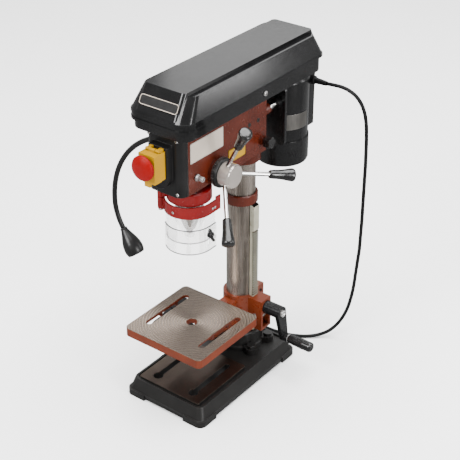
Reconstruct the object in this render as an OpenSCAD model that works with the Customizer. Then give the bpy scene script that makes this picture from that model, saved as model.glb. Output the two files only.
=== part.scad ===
// Benchtop drill press: origin on the floor under the middle of the base, +X to the operator's right,
// +Y to the back, +Z up, millimetres.

/* [Base] */
// Width across the feet of the base
base_w = 156; // [146:1:180]
// Length of the base from front to back
base_l = 256; // [250:1:290]
// Corner radius of the base outline
base_corner_r = 12; // [8:1:18]
// Height of the foot flange around the base
flange_h = 11; // [9:0.5:14]
// Length of each corner foot along the sides
foot_l = 38; // [24:1:50]
// Height of the rim around the deck
rim_h = 31; // [29:0.5:36]
// Depth of the deck below the rim
deck_drop = 3.5; // [2:0.5:4.5]
// Thickness of the deck above the hollow underside
deck_t = 8; // [6:0.5:10]
// Width of the machined pad
pad_w = 120; // [106:1:126]
// Length of the machined pad
pad_l = 124; // [118:1:128]
// Height of the machined pad above the deck
pad_rise = 6.5; // [5:0.5:8]
// Distance between the two keyhole slots
base_slot_pitch = 72; // [60:1:80]
// Width of the narrow run of a keyhole slot
base_slot_w = 9; // [7:0.5:11]
// Diameter of the round end of a keyhole slot
keyhole_d = 16; // [13:0.5:18]
// Length between the end centres of a keyhole slot
base_slot_run = 87; // [70:1:92]

/* [Column] */
// Diameter of the column tube
column_d = 46; // [44:0.5:48]
// Wall of the column tube
column_wall = 3; // [2:0.5:5]
// Distance from the back of the base to the column axis
column_setback = 53; // [52:1:58]
// Height of the column top above the floor
column_top = 470; // [466:1:474]
// Wall of the flange socket around the column
socket_wall = 14.5; // [11:0.5:16]
// Height of the flange socket above the deck
socket_h = 32; // [24:1:34]
// Diameter of the flange bolts
flange_bolt_d = 8; // [6:0.5:9]
// Underside height of the collar that holds the rack
rack_collar_z = 295; // [276:1:300]
// Height of the rack collar
rack_collar_h = 17; // [12:1:24]
// Wall of the rack collar
rack_collar_wall = 4.2; // [3:0.2:6]

/* [Table] */
// Side of the square table
table_w = 150; // [140:1:152]
// Height of the table top above the floor
table_z = 130; // [128:1:140]
// Height of the table rim
table_t = 15; // [13:0.5:17]
// Distance between the two table slots
table_slot_pitch = 105; // [90:1:112]
// Length of a table slot
table_slot_l = 101; // [70:1:108]
// Width of a table slot
table_slot_w = 11; // [8:0.5:13]
// Diameter of the hole in the middle of the table
table_hole_d = 18; // [12:1:24]
// Diameter of the tilt bolt
tilt_bolt_d = 12; // [10:0.5:14]
// Wall of the bracket around the column
bracket_wall = 5.5; // [4.5:0.5:7]
// Height of the bracket around the column
bracket_h = 57; // [52:1:58]
// Length of the crank arm between its two axes
crank_l = 54; // [46:1:56]
// Length of the crank knob
crank_knob_l = 44; // [34:1:52]
// Length of the bracket's lock lever
lock_lever_l = 42; // [30:1:48]

/* [Rack drive] */
// Module of the lift rack and its pinion
lift_module = 1.5; // [1.4:0.05:1.6]
// Width of the lift rack
rack_w = 14; // [12:0.5:15]
// Plain length at the top of the rack
rack_plain_l = 44; // [30:1:48]

/* [Head] */
// Distance from the column axis to the spindle axis
throat = 127; // [124:1:130]
// Height of the underside of the head above the floor
head_z = 382; // [378:1:386]
// Height of the head casting
head_h = 99; // [97:1:104]
// Width of the head casting
head_w = 62; // [58:0.5:66]
// Length of the head in front of the spindle axis
head_front = 40; // [34:1:44]
// Diameter of the quill
quill_d = 40; // [38:0.5:41]
// Travel of the quill
quill_travel = 50; // [40:1:52]
// Module of the quill rack and the feed pinion
feed_module = 1.5; // [1.4:0.05:1.6]
// Height of the feed shaft above the head's underside
feed_rise = 15; // [14:0.5:18]
// Diameter of the feed shaft
feed_shaft_d = 15; // [13:0.5:16]
// Diameter of the depth stop collar
depth_collar_d = 46; // [38:1:50]
// Width of the depth stop collar
depth_collar_l = 9; // [7:0.5:11]
// Reach of the feed handles from the shaft axis
handle_reach = 97; // [80:1:104]
// Diameter of the feed handle rods
handle_rod_d = 6.4; // [5:0.2:8]
// Length of a feed handle grip
grip_l = 41; // [34:1:46]
// Depth of the front cover
cover_depth = 16; // [14.5:0.5:20]

/* [Chuck and guard] */
// Diameter of the spindle
spindle_d = 17; // [15:0.5:19]
// Height of the chuck from its jaw tips to its top
chuck_h = 67; // [64:1:70]
// Diameter of the chuck sleeve
chuck_sleeve_d = 43; // [40:0.5:46]
// Opening of the chuck jaws
chuck_open = 10; // [6:0.5:10.5]
// Height of the guard ring
guard_ring_h = 19; // [18:1:24]
// Inner radius of the upper visor
visor_r = 33.8; // [32:0.2:36]
// Thickness of the visor sheet
visor_t = 1.8; // [1.2:0.1:2]
// Height of the upper visor below the guard ring
visor_upper_h = 62; // [54:1:64]
// Height of the lower visor
visor_lower_h = 41; // [36:1:44]
// Height of the guard band
guard_band_h = 18.5; // [14:0.5:20]

/* [Drive] */
// Distance from the column axis to the motor axis
motor_reach = 110; // [106:1:114]
// Diameter of the motor
motor_d = 82; // [76:1:86]
// Length of the motor housing
motor_l = 105; // [96:1:106]
// Length of the motor end cap
motor_cap_l = 44; // [32:1:48]
// Belt tension travel of the motor
tension_travel = 10; // [6:0.5:10]
// Pitch radius of the smallest pulley step
pulley_r0 = 15; // [14.5:0.5:16]
// Growth of the pitch radius from step to step
pulley_step_r = 2.75; // [2:0.25:3]
// Height of one pulley step
pulley_step_h = 9; // [8.4:0.1:9.4]
// Number of pulley steps
pulley_steps = 5; // [3:2:5]
// Width of the belt tray
tray_w = 102; // [98:1:106]
// Overhang of the belt tray in front of the spindle
tray_front = 67; // [62:1:70]
// Overhang of the belt tray behind the motor axis
tray_back = 34; // [32:1:38]
// Height of the belt tray
tray_h = 27; // [26:0.5:28]
// Wall of the tray and the lid
sheet_t = 2.3; // [1.8:0.1:2.6]
// Height of the lid above the head casting
lid_top = 65; // [64:1:70]

/* [Switch and lamp] */
// Width of the switch
switch_w = 28; // [26:0.5:34]
// Height of the switch
switch_h = 43; // [40:1:46]
// Diameter of the mushroom button
mushroom_d = 38; // [30:1:40]
// Diameter of the lamp gooseneck
gooseneck_d = 8; // [6:0.5:10]
// Diameter of the lamp mouth
lamp_d = 30; // [24:1:32]
// Length of the lamp head
lamp_l = 45; // [36:1:48]

/* [Mains lead] */
// Diameter of the mains lead
cord_d = 6; // [5:0.5:6.5]
// Radius of the outermost turn of the coil
coil_r = 38.25; // [34:0.25:38.5]
// Turns in each layer of the coil
coil_turns = 2.5; // [1.5:1:2.5]

/* [Hidden] */
$fn = 64;

// Shared clearances
run_fit = 0.05;
slide_fit = 0.1;
face_gap = 0.3;
eps = 0.01;

// Colours
black = "#1d1e20";
oxide = "#6e2a20";
steel = "#b9bcc0";
bright = "#d8dadd";
zinc = "#b8a566";
signal_red = "#c8201c";
yellow = "#f0c419";
clear = [0.9, 0.94, 0.97, 0.35];

// Base heights and outline
foot_lift = 3;
foot_step = 2;
body_inset = 9;
rim_w = 4;
rib_w = 6;
deck_z = rim_h - deck_drop;
pad_z = deck_z + pad_rise;
base_top_w = base_w - 2 * body_inset;
base_top_l = base_l - 2 * body_inset;
cell_count_x = 3;
cell_count_y = 5;
cell_wall = 7;
cell_w = (base_top_w - 2 * cell_wall - (cell_count_x - 1) * rib_w) / cell_count_x;
cell_l = (base_top_l - 2 * cell_wall - (cell_count_y - 1) * rib_w) / cell_count_y;

// Column and flange
column_r = column_d / 2;
col_y = base_l / 2 - column_setback;
socket_r = column_r + socket_wall;
socket_top = deck_z + socket_h;
flange_seat_t = 5;
lug_r = 10;
table_lip_t = 4;
lug_h = 10;
lug_reach = socket_r + 8.5;
lug_angles = [-30, 30, 150, 210];
bolt_head_h = 5.5;
rack_collar_r = column_r + rack_collar_wall;

// Spindle line
spindle_y = col_y - throat;
keyhole_y = spindle_y - base_slot_run / 2;
base_slot_y = spindle_y + base_slot_run / 2;

// Lift rack, pinion and worm
lift_pitch = PI * lift_module;
rack_tip_x = column_r + 8;
rack_back_x = column_r + 0.4;
rack_pitch_x = rack_tip_x - lift_module;
rack_root_x = rack_tip_x - 2.25 * lift_module;
tooth_tip = lift_module / 3;
tooth_root = 1.15 * lift_module;
lift_teeth = 12;
lift_r = lift_module * lift_teeth / 2;
lift_backlash = 0.2;
lift_x = rack_pitch_x + lift_r + lift_backlash;
bracket_z = table_z - 60;
lift_z = bracket_z + 26;
worm_pitch_r = 7;
worm_core_r = 6.3;
worm_throw = 1.7;
worm_z = lift_z + lift_r + worm_pitch_r;
worm_x0 = rack_tip_x + 1.6;
worm_l = 14;
worm_shaft_r = 6;
lift_pin_r = 3.5;
rack_z0 = socket_top + face_gap;
rack_z1 = rack_collar_z - face_gap;
rack_teeth_top = rack_z1 - rack_plain_l;
rack_gap_low = ceil((rack_z0 + 4 - lift_z) / lift_pitch);
rack_gap_high = floor((rack_teeth_top - lift_z) / lift_pitch);

// Table bracket
bracket_r = column_r + bracket_wall;
gearbox_x = worm_x0 + worm_l + 6;
gearbox_half = rack_w / 2 + 6;
bearing_x = worm_x0 + worm_l + 0.6;
pocket_half = rack_w / 2 + 1.5;
tilt_drop = 21;
tilt_z = table_z - table_t - tilt_drop;
tilt_boss_r = tilt_drop - 2;
tilt_face_y = spindle_y + table_w / 2 - 15;
ear_half = 14;
ear_y = col_y + column_r + 14;
ear_z = bracket_z + 38;
ear_h = 24;
clamp_slit = 3;
clamp_screw_r = 4;
tilt_boss_l = 24;
tilt_head_h = 7;

// Crank
crank_lean = 12;
crank_x = table_w / 2 + 2.5;
crank_arm_t = 7;
crank_hub_r = 11;
crank_boss_r = 7.5;
crank_boss_l = 7;
crank_pin_r = 3.5;
crank_pin_y = col_y + crank_l * sin(crank_lean);
crank_pin_z = worm_z - crank_l * cos(crank_lean);
crank_knob_x = crank_x + crank_arm_t + crank_boss_l + 1.5;
crank_knob_r = 8.6;

// Head casting
head_top = head_z + head_h;
head_half = head_w / 2;
head_front_y = spindle_y - head_front;
head_back_y = col_y + 22;
column_socket_r = column_r + 8;
socket_drop = 12;
quill_r = quill_d / 2;
feed_pitch = PI * feed_module;
feed_teeth = 12;
feed_r = feed_module * feed_teeth / 2;
quill_rack_tip = quill_r - 1;
quill_rack_pitch = quill_rack_tip - feed_module;
quill_rack_root = quill_rack_tip - 2.25 * feed_module;
feed_backlash = 0.2;
feed_y = spindle_y + quill_rack_pitch + feed_r + feed_backlash;
feed_z = head_z + feed_rise;
feed_tip_r = feed_r + 0.8 * feed_module;
feed_root_r = feed_r - 1.27 * feed_module;
feed_tooth_tip = feed_module / 3;
feed_tooth_root = 1.05 * feed_module;
feed_face = 18;
feed_shaft_r = feed_shaft_d / 2;
feed_boss_r = 19;
feed_boss_l = 5;
quill_stop_gap = 18;
quill_z0 = head_z - quill_stop_gap;
quill_top = feed_z + quill_travel + 15;
quill_gap_low = -2;
quill_gap_high = floor((quill_travel + 8) / feed_pitch);
spindle_r = spindle_d / 2;
rod_boss_r = 9;
rod_boss_y = col_y + 35;
rod_x = 22;
rod_z = head_z + 63;
slide_rod_r = 6;

// Motor lock knob on the right of the head
lock_knob_y = col_y + 11;
lock_knob_z = head_z + 21;
lock_boss_r = 8;
lock_boss_l = 5;
lock_stem_r = 3;
lock_stem_l = 7;
lock_knob_r = 8.6;
lock_knob_l = 14;

// Feed hub, handles and depth collar
depth_collar_x = head_half + feed_boss_l + face_gap;
hub_x = depth_collar_x + depth_collar_l + face_gap;
hub_l = 17.5;
hub_r = 18.5;
handle_rake = 31.7;
handle_angles = [-14, 106, 226];
handle_seat = 9.5;
handle_root_x = hub_x + handle_rod_d / 2 + 1;
grip_r = 10;
spring_cup_x = -(head_half + feed_boss_l);
spring_cup_r = 24;
spring_cup_l = 16;
spring_wall = 2.5;
spring_band_t = 0.8;
spring_turns = 4;

// Chuck and spindle
chuck_gap = 3;
chuck_top = quill_z0 - chuck_gap;
jaw_z = chuck_top - chuck_h;
chuck_core_r = chuck_sleeve_d / 2 - 3.4;
chuck_nose_r = 8.5;
chuck_nose_z = jaw_z + 9;
chuck_neck_z = jaw_z + 35;
chuck_sleeve_z = chuck_neck_z + 1.5;
chuck_sleeve_h = 20;
chuck_bore_l = 18;
arbor_r = 7.5;
jaw_r = 3.2;
jaw_lean = 15;
jaw_axis_r = 1.2;
jaw_l = 30;
jaw_travel = chuck_open / 2 / sin(jaw_lean);
jaw_split = 0.15;
sleeve_teeth = 30;

// Guard
guard_ring_top = head_z - 7;
guard_ring_r = visor_r;
guard_ring_wall = 3;
guard_plate_t = 6;
guard_ring_z = guard_ring_top - guard_ring_h;
visor_outer_r = visor_r + visor_t;
band_in_r = visor_outer_r + 0.2;
band_t = 2.5;
band_z1 = guard_ring_z - 0.6;
band_z0 = band_z1 - guard_band_h;
lower_in_r = visor_outer_r + 0.35;
guard_start = 217;
guard_pin_reach = band_in_r + band_t + 4;
guard_pin_x = guard_pin_reach * cos(guard_start);
guard_pin_y = spindle_y + guard_pin_reach * sin(guard_start);
guard_pin_r = 2;
guard_knuckle_r = 5;
guard_lug_h = 12;
visor_leg = 16;
band_leg = 26;
visor_upper_z0 = guard_ring_z - visor_upper_h;
lower_overlap = 23;
visor_lower_z1 = visor_upper_z0 + lower_overlap;
visor_lower_z0 = visor_lower_z1 - visor_lower_h;
visor_raise = 16;
visor_drop = 6;
wing_z = visor_upper_z0 + 11;
wing_bolt_r = 2.5;
wing_y = spindle_y - 2;
ear_rise = 4.5;

// Pulleys, tray and lid
motor_y = col_y + motor_reach;
pulley_z = head_top + 6;
pulley_mid = (pulley_steps - 1) / 2;
belt_r = pulley_r0 + pulley_mid * pulley_step_r;
belt_z = pulley_z + (pulley_mid + 0.5) * pulley_step_h;
groove_depth = 4;
groove_rim = 2.2;
groove_floor = 1.4;
groove_mouth = 3.4;
belt_gap = 0.35;
tray_l = throat + motor_reach + tray_front + tray_back;
tray_y = (spindle_y - tray_front + motor_y + tray_back) / 2;
tray_corner_r = 18;
tray_z1 = head_top + tray_h;
lid_gap = 1.3;
lid_front_z = head_top + 14;
lid_side_z = head_top + 24;
lid_step_y = spindle_y - 10;
lid_w = tray_w + 2 * (lid_gap + sheet_t);
lid_l = tray_l + 2 * (lid_gap + sheet_t);
lid_z1 = head_top + lid_top;
lid_shoulder_z = lid_z1 - 5;
lid_draw = 8;
lid_front_draw = 24;
lid_back_draw = 18;
lid_bead_h = 4;
lid_bead_t = 1;
strip_margin = 8.6;
strip_draw = 1.5;
strip_proud = 0.6;
strip_lead = 2.5;
hinge_x = -(lid_w / 2 + lid_bead_t + 2.5);
hinge_z = lid_front_z - 3;
hinge_r = 3.2;
hinge_pin_r = 1.5;
hinge_l = 12;
hinge_ys = [tray_y - 105, tray_y + 105];

// Motor
motor_r = motor_d / 2;
motor_top = head_top - 6;
motor_z0 = motor_top - motor_l;
motor_cap_z = motor_z0 - motor_cap_l;
motor_cap_r = motor_r + 1.5;
plate_t = 5.5;
plate_y = motor_y - motor_r - 8;
plate_half = 38;
pad_half = 22;
motor_shaft_r = 7;
box_half = 25;
box_depth = 14;
box_back_y = motor_y + motor_r + box_depth;
box_z0 = motor_z0 + 4;
box_z1 = motor_top - 2;

// Front cover, switch and lamp
cover_w = head_w + 4;
cover_y = head_front_y - cover_depth;
cover_z0 = head_z + 2;
cover_z1 = head_top - 1;
cover_corner_r = 13;
pedestal_half = switch_w / 2 + 3;
pedestal_depth = 12;
switch_y = cover_y - pedestal_depth;
switch_z = head_z + 57;
switch_z0 = switch_z - switch_h / 2;
switch_z1 = switch_z + switch_h / 2;
switch_base_t = 8;
flap_y = switch_y - switch_base_t - face_gap;
flap_depth = 15.5;
flap_wall = 2;
flap_hinge_y = flap_y - 1.6;
flap_hinge_z = switch_z1 + 2.5;
flap_knuckle_r = 2.6;
flap_pin_r = 1.3;
mushroom_r = mushroom_d / 2;
mushroom_gap = 5;
mushroom_h = 11;
mushroom_z = switch_z + 4;
mushroom_travel = 4;
start_r = 6;
start_z = switch_z - 9;
start_travel = 3;
start_proud = 4;
neck_y = head_front_y + 7;
neck_z = head_z + 73;
neck_lean = 24;
neck_bend_r = 136;
neck_bend_end = 91;
neck_hook_r = 84;
neck_hook_end = 124;
neck_ferrule_l = 9;
gooseneck_r = gooseneck_d / 2;

// Mains lead: the route is a list of points chosen by hand
cord_r = cord_d / 2;
cord_sides = 8;
coil_sides = 6;
coil_rings = 24;
coil_x = -122;
coil_y = 45;
coil_pitch = cord_d + 0.6;
lead_z = cord_r + 0.05;
relief_l = 26;
cord_gap = 0.5;
relief_y = box_back_y - 9;
relief_z = box_z1 - 22;
lead_route = [
    [box_half + relief_l + cord_gap, relief_y, relief_z], [64, 231, 452], [78, 232, 452], [92, 233, 449],
    [105, 234, 442], [115, 235, 430], [121, 236, 415], [124, 237, 397], [125, 238, 377], [126, 238, 352],
    [126, 239, 326], [126, 239, 300], [126, 239, 274], [126, 239, 248], [126, 239, 222], [126, 238, 196],
    [126, 237, 170], [125, 235, 146], [124, 233, 122], [123, 231, 98], [121, 228, 76], [118, 224, 56],
    [113, 218, 38], [106, 210, 23], [97, 200, 12], [86, 189, 6], [74, 178, 3.6], [60, 168, lead_z],
    [43, 160, lead_z], [24, 155, lead_z], [4, 153, lead_z], [-18, 152, lead_z], [-40, 152, lead_z],
    [-56, 151, lead_z], [-69, 147, lead_z], [-79, 138, lead_z], [coil_x + coil_r, 124, lead_z],
    [coil_x + coil_r, 104, lead_z], [coil_x + coil_r, 76, lead_z],
    [coil_x + coil_r, coil_y + cord_d, lead_z], [coil_x + coil_r, coil_y + cord_gap, lead_z]];
plug_w = 36;
plug_h = 19;
plug_l = 40;
plug_neck_l = 23;
plug_pin_l = 19;
plug_y = coil_y + 14;
tail_z = lead_z + coil_pitch;
tail_route = [[coil_x - coil_r, coil_y + cord_gap, tail_z], [coil_x - coil_r, coil_y + cord_d, tail_z],
    [coil_x - coil_r, plug_y, tail_z]];

// Coil of two layers: inward, a half turn that climbs, then outward
function coil_radius(t) =
    t <= coil_turns ? coil_r - coil_pitch * t :
    t <= coil_turns + 0.5 ? coil_r - coil_pitch * (coil_turns + 0.25 * sin((t - coil_turns) * 360)) :
    coil_r - coil_pitch * (2 * coil_turns + 0.5 - t);
function smooth(u) = u * u * (3 - 2 * u);
function coil_height(t) =
    lead_z + coil_pitch * smooth(min(max((t - coil_turns) * 2, 0), 1));
function coil_point(t) = [coil_x + coil_radius(t) * cos(360 * t), coil_y - coil_radius(t) * sin(360 * t),
    coil_height(t)];
coil_total = 2 * coil_turns + 0.5;
coil_steps = round(coil_total * coil_rings);
coil_route = [for (i = [0:coil_steps]) coil_point(coil_total * i / coil_steps)];

// Measured length of a route and the least gap of the coil to itself
function route_length(p) = len(p) < 2 ? 0 : sum_list([for (i = [1:len(p) - 1]) norm(p[i] - p[i - 1])]);
function sum_list(v, i = 0) = i >= len(v) ? 0 : v[i] + sum_list(v, i + 1);
coil_self_gap = min([for (i = [0:len(coil_route) - 1], j = [i + coil_rings / 2:1:len(coil_route) - 1])
    norm(coil_route[i] - coil_route[j])]) - cord_d;
echo(coil_self_gap = coil_self_gap);
echo(cord_length = route_length(lead_route) + route_length(coil_route) + route_length(tail_route));

// A tube swept along a list of points, with square ends
function unit(v) = v / norm(v);
function tangent(p, i) = unit(p[min(i + 1, len(p) - 1)] - p[max(i - 1, 0)]);
sweep_ref = [0.6, -0.5, 0.62];
function ring(p, i, r, sides) =
    let (t = tangent(p, i), n = unit(cross(t, sweep_ref)), b = cross(t, n))
    [for (k = [0:sides - 1]) p[i] + r * (cos(360 * k / sides) * n + sin(360 * k / sides) * b)];
module swept_tube(p, r, sides) {
    rings = len(p);
    points = [for (i = [0:rings - 1]) each ring(p, i, r, sides)];
    walls = [for (i = [0:rings - 2], k = [0:sides - 1])
        let (a = i * sides + k, b = i * sides + (k + 1) % sides)
        each [[a, a + sides, b + sides], [a, b + sides, b]]];
    caps = [for (k = [1:sides - 2])
        each [[0, k, k + 1],
            [(rings - 1) * sides, (rings - 1) * sides + k + 1, (rings - 1) * sides + k]]];
    polyhedron(points = points, faces = concat(walls, caps));
}

// Building blocks
module rod_x(r, x0, x1) {
    translate([x0, 0, 0]) rotate([0, 90, 0]) cylinder(r = r, h = x1 - x0);
}

module rod_y(r, y0, y1) {
    translate([0, y0, 0]) rotate([-90, 0, 0]) cylinder(r = r, h = y1 - y0);
}

module block(x0, x1, y0, y1, z0, z1) {
    translate([x0, y0, z0]) cube([x1 - x0, y1 - y0, z1 - z0]);
}

module round_rect(w, l, r) {
    square([w - 2 * r, l], center = true);
    square([w, l - 2 * r], center = true);
    for (x = [-1, 1], y = [-1, 1]) translate([x * (w / 2 - r), y * (l / 2 - r)]) circle(r = r);
}

module slab(w, l, r, z0, z1) {
    translate([0, 0, z0]) linear_extrude(z1 - z0) round_rect(w, l, r);
}

// Tapered slab: the outline at z0 drawn in to a smaller one at z1
module tapered(w0, l0, y0, r0, z0, w1, l1, y1, r1, z1) {
    hull() {
        translate([0, y0, 0]) slab(w0, l0, r0, z0, z0 + eps, $fn = 32);
        translate([0, y1, 0]) slab(w1, l1, r1, z1 - eps, z1, $fn = 32);
    }
}

module slot_cut(w, x, y0, y1, z0, z1) {
    block(x - w / 2, x + w / 2, y0, y1, z0, z1);
    for (y = [y0, y1]) translate([x, y, z0]) cylinder(r = w / 2, h = z1 - z0);
}

// Straight-flanked gear outline with one tooth at angle 0
module gear_outline(teeth, r_tip, r_root, half_tip, half_root) {
    polygon([for (k = [0:teeth - 1]) let (a = 360 * k / teeth)
        each [for (q = [[r_root, -half_root], [r_tip, -half_tip], [r_tip, half_tip], [r_root, half_root]])
            [q[0] * cos(a) - q[1] * sin(a), q[0] * sin(a) + q[1] * cos(a)]]]);
}

// Section of a step pulley, its steps growing by grow from the bottom
module pulley_section(bore, r_first, grow) {
    steps = [for (i = [0:pulley_steps - 1]) each
        let (r = r_first + i * grow, z = i * pulley_step_h, m = pulley_step_h / 2)
        [[r + groove_rim, z], [r + groove_rim, z + m - groove_mouth], [r - groove_depth, z + m - groove_floor],
            [r - groove_depth, z + m + groove_floor], [r + groove_rim, z + m + groove_mouth],
            [r + groove_rim, z + pulley_step_h]]];
    polygon(concat([[bore, 0]], steps, [[bore, pulley_steps * pulley_step_h]]));
}

module v_section() {
    top = groove_mouth - (groove_mouth - groove_floor) * (groove_rim + 0.6) / (groove_rim + groove_depth);
    low = groove_floor + (groove_mouth - groove_floor) * 0.8 / (groove_rim + groove_depth);
    polygon([[belt_r - groove_depth + 0.8, -low + belt_gap], [belt_r - 0.6, -top + belt_gap],
        [belt_r - 0.6, top - belt_gap], [belt_r - groove_depth + 0.8, low - belt_gap]]);
}

// Stand
module base() {
    color(black) difference() {
        union() {
            difference() {
                union() {
                    slab(base_w - 2 * foot_step, base_l - 2 * foot_step, base_corner_r - foot_step,
                        foot_lift, flange_h - 1);
                    intersection() {
                        slab(base_w, base_l, base_corner_r, 0, flange_h);
                        for (x = [-1, 1], y = [-1, 1])
                            translate([x * base_w / 2, y * base_l / 2, flange_h / 2])
                                cube([2 * foot_l, 2 * foot_l, 2 * flange_h], center = true);
                    }
                    tapered(base_w - 2 * foot_step - 1, base_l - 2 * foot_step - 1, 0, base_corner_r - foot_step,
                        flange_h - 2, base_top_w, base_top_l, 0, base_corner_r - 2, rim_h);
                }
                slab(base_top_w - 2 * rim_w, base_top_l - 2 * rim_w, base_corner_r - 4, deck_z, rim_h + 1);
            }
            translate([0, spindle_y, 0]) slab(pad_w, pad_l, 3, deck_z - 1, pad_z);
        }
        for (i = [0:cell_count_x - 1], j = [0:cell_count_y - 1])
            translate([(i - (cell_count_x - 1) / 2) * (cell_w + rib_w),
                (j - (cell_count_y - 1) / 2) * (cell_l + rib_w), 0])
                slab(cell_w, cell_l, 4, -1, deck_z - deck_t);
        for (x = [-1, 1] * base_slot_pitch / 2) {
            slot_cut(base_slot_w, x, keyhole_y, base_slot_y, -1, pad_z + 1);
            translate([x, keyhole_y, -1]) cylinder(d = keyhole_d, h = pad_z + 2);
        }
        at_flange_bolts() translate([0, 0, -1]) cylinder(d = flange_bolt_d + 2 * slide_fit, h = rim_h + 1);
        at_flange_bolts() translate([0, 0, deck_z]) cylinder(r = lug_r + face_gap, h = rim_h);
        for (a = lug_angles) translate([0, col_y, deck_z]) rotate([0, 0, a])
            translate([socket_r, -lug_r - 2 * face_gap, 0])
                cube([lug_reach - socket_r, 2 * lug_r + 4 * face_gap, rim_h]);
    }
}

module at_flange_bolts() {
    for (a = lug_angles) translate([lug_reach * cos(a), col_y + lug_reach * sin(a), 0]) children();
}

module column_flange() {
    color(black) difference() {
        union() {
            translate([0, col_y, deck_z]) rotate_extrude() polygon([[0, 0], [socket_r + 2, 0], [socket_r + 2, 6],
                [socket_r, 9], [socket_r, socket_h - 2.5], [socket_r - 2.5, socket_h], [0, socket_h]]);
            for (a = lug_angles) translate([0, col_y, deck_z]) rotate([0, 0, a]) {
                translate([0, -lug_r, 0]) cube([lug_reach, 2 * lug_r, lug_h]);
                translate([lug_reach, 0, 0]) cylinder(r = lug_r, h = lug_h);
            }
        }
        translate([0, col_y, deck_z + flange_seat_t]) cylinder(r = column_r + run_fit, h = socket_h);
        at_flange_bolts() translate([0, 0, deck_z - 1])
            cylinder(d = flange_bolt_d + 2 * slide_fit, h = lug_h + 2);
        at_flange_bolts() translate([0, 0, deck_z + lug_h]) cylinder(d = 2.4 * flange_bolt_d, h = socket_h);
    }
}

module flange_bolts() {
    color(steel) at_flange_bolts() translate([0, 0, deck_z + lug_h]) {
        cylinder(d = 2 * flange_bolt_d * 0.95, h = bolt_head_h, $fn = 6);
        translate([0, 0, -lug_h - deck_t + 1]) cylinder(d = flange_bolt_d, h = lug_h + deck_t);
    }
}

module column() {
    color(steel) translate([0, col_y, deck_z + flange_seat_t]) difference() {
        cylinder(r = column_r, h = column_top - deck_z - flange_seat_t);
        translate([0, 0, -1]) cylinder(r = column_r - column_wall, h = column_top);
    }
}

module rack_collar() {
    color(oxide) translate([0, col_y, rack_collar_z]) rotate_extrude() polygon([
        [column_r + run_fit, 0], [rack_collar_r - 1, 0], [rack_collar_r, 1], [rack_collar_r, rack_collar_h - 2],
        [rack_collar_r - 2, rack_collar_h], [column_r + run_fit, rack_collar_h]]);
}

module head_casting() {
    color(oxide) difference() {
        union() {
            block(-head_half, head_half, head_front_y, head_back_y, head_z, head_top);
            translate([0, col_y, head_z - socket_drop]) cylinder(r = column_socket_r, h = head_h + socket_drop);
            translate([0, feed_y, feed_z])
                rod_x(feed_boss_r, -head_half - feed_boss_l, head_half + feed_boss_l);
            for (x = [-1, 1] * rod_x)
                translate([x, 0, rod_z]) rod_y(rod_boss_r, col_y, rod_boss_y);
            translate([0, lock_knob_y, lock_knob_z]) rod_x(lock_boss_r, head_half - 2, head_half + lock_boss_l);
        }
        translate([0, lock_knob_y, lock_knob_z])
            rod_x(lock_stem_r + run_fit, head_half - lock_stem_l, head_half + lock_boss_l + 1);
        translate([0, col_y, head_z - socket_drop - 1])
            cylinder(r = column_r + run_fit, h = column_top - head_z + socket_drop + 1);
        translate([0, spindle_y, head_z - feed_boss_r]) cylinder(r = quill_r + run_fit, h = head_h + feed_boss_r + 1);
        translate([0, feed_y, feed_z]) {
            rod_x(feed_tip_r + 0.6, -head_half - feed_boss_l - 1, feed_face / 2 + 0.5);
            rod_x(feed_shaft_r + run_fit, 0, head_half + feed_boss_l + 1);
        }
        block(-head_half + 6, head_half - 6, feed_y + feed_boss_r + 4, col_y - column_socket_r + 2,
            head_z + 10, head_top + 1);
        for (x = [-1, 1] * rod_x)
            translate([x, 0, rod_z]) rod_y(slide_rod_r + run_fit, rod_boss_y - 17.5, rod_boss_y + 1);
    }
}

module cover_plan(inset) {
    w = cover_w / 2 - inset;
    y = cover_y + inset;
    r = cover_corner_r - inset;
    back = head_front_y + (inset > 0 ? 1 : 0);
    intersection() {
        union() {
            translate([-w, y + r]) square([2 * w, back - y - r]);
            translate([-w + r, y]) square([2 * (w - r), back - y]);
            for (x = [-1, 1]) translate([x * (w - r), y + r]) circle(r = r);
        }
        translate([-cover_w, y]) square([2 * cover_w, back - y]);
    }
}

module pedestal_face(half, drop) {
    translate([-half, switch_z0 - 3]) square([2 * half, switch_h + 8]);
    translate([0, switch_z0 - 3]) intersection() {
        circle(r = half);
        translate([-half, -drop]) square([2 * half, drop]);
    }
}

module front_cover() {
    color(black) difference() {
        union() {
            translate([0, 0, cover_z0]) linear_extrude(cover_z1 - cover_z0) cover_plan(0);
            translate([0, cover_y + 1, 0]) rotate([90, 0, 0]) linear_extrude(pedestal_depth + 1)
                pedestal_face(pedestal_half, pedestal_half);
        }
        translate([0, 0, cover_z0 + 3]) linear_extrude(cover_z1 - cover_z0 - 6) cover_plan(3);
    }
}

module belt_tray() {
    color(black) difference() {
        union() {
            translate([0, tray_y, 0]) difference() {
                slab(tray_w, tray_l, tray_corner_r, head_top, tray_z1);
                slab(tray_w - 2 * sheet_t, tray_l - 2 * sheet_t, tray_corner_r - sheet_t, head_top + sheet_t,
                    tray_z1 + 1);
            }
            for (y = hinge_ys) difference() {
                union() {
                    block(hinge_x, -tray_w / 2 + 1, y, y + hinge_l, hinge_z - hinge_r, hinge_z);
                    translate([hinge_x, 0, hinge_z]) rod_y(hinge_r, y, y + hinge_l);
                }
                translate([hinge_x, 0, hinge_z]) rod_y(hinge_pin_r, y - 1, y + hinge_l + 1);
            }
        }
        translate([0, spindle_y, head_top - 1]) cylinder(r = quill_r + 1, h = sheet_t + 2);
        slot_cut(4 * motor_shaft_r, 0, motor_y - tension_travel - 2, motor_y, head_top - 1,
            head_top + sheet_t + 1);
    }
}

module lid_hinge_pins() {
    color(steel) for (y = hinge_ys) translate([hinge_x, 0, hinge_z])
        rod_y(hinge_pin_r - eps, y - hinge_l - 1, y + hinge_l);
}

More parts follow.
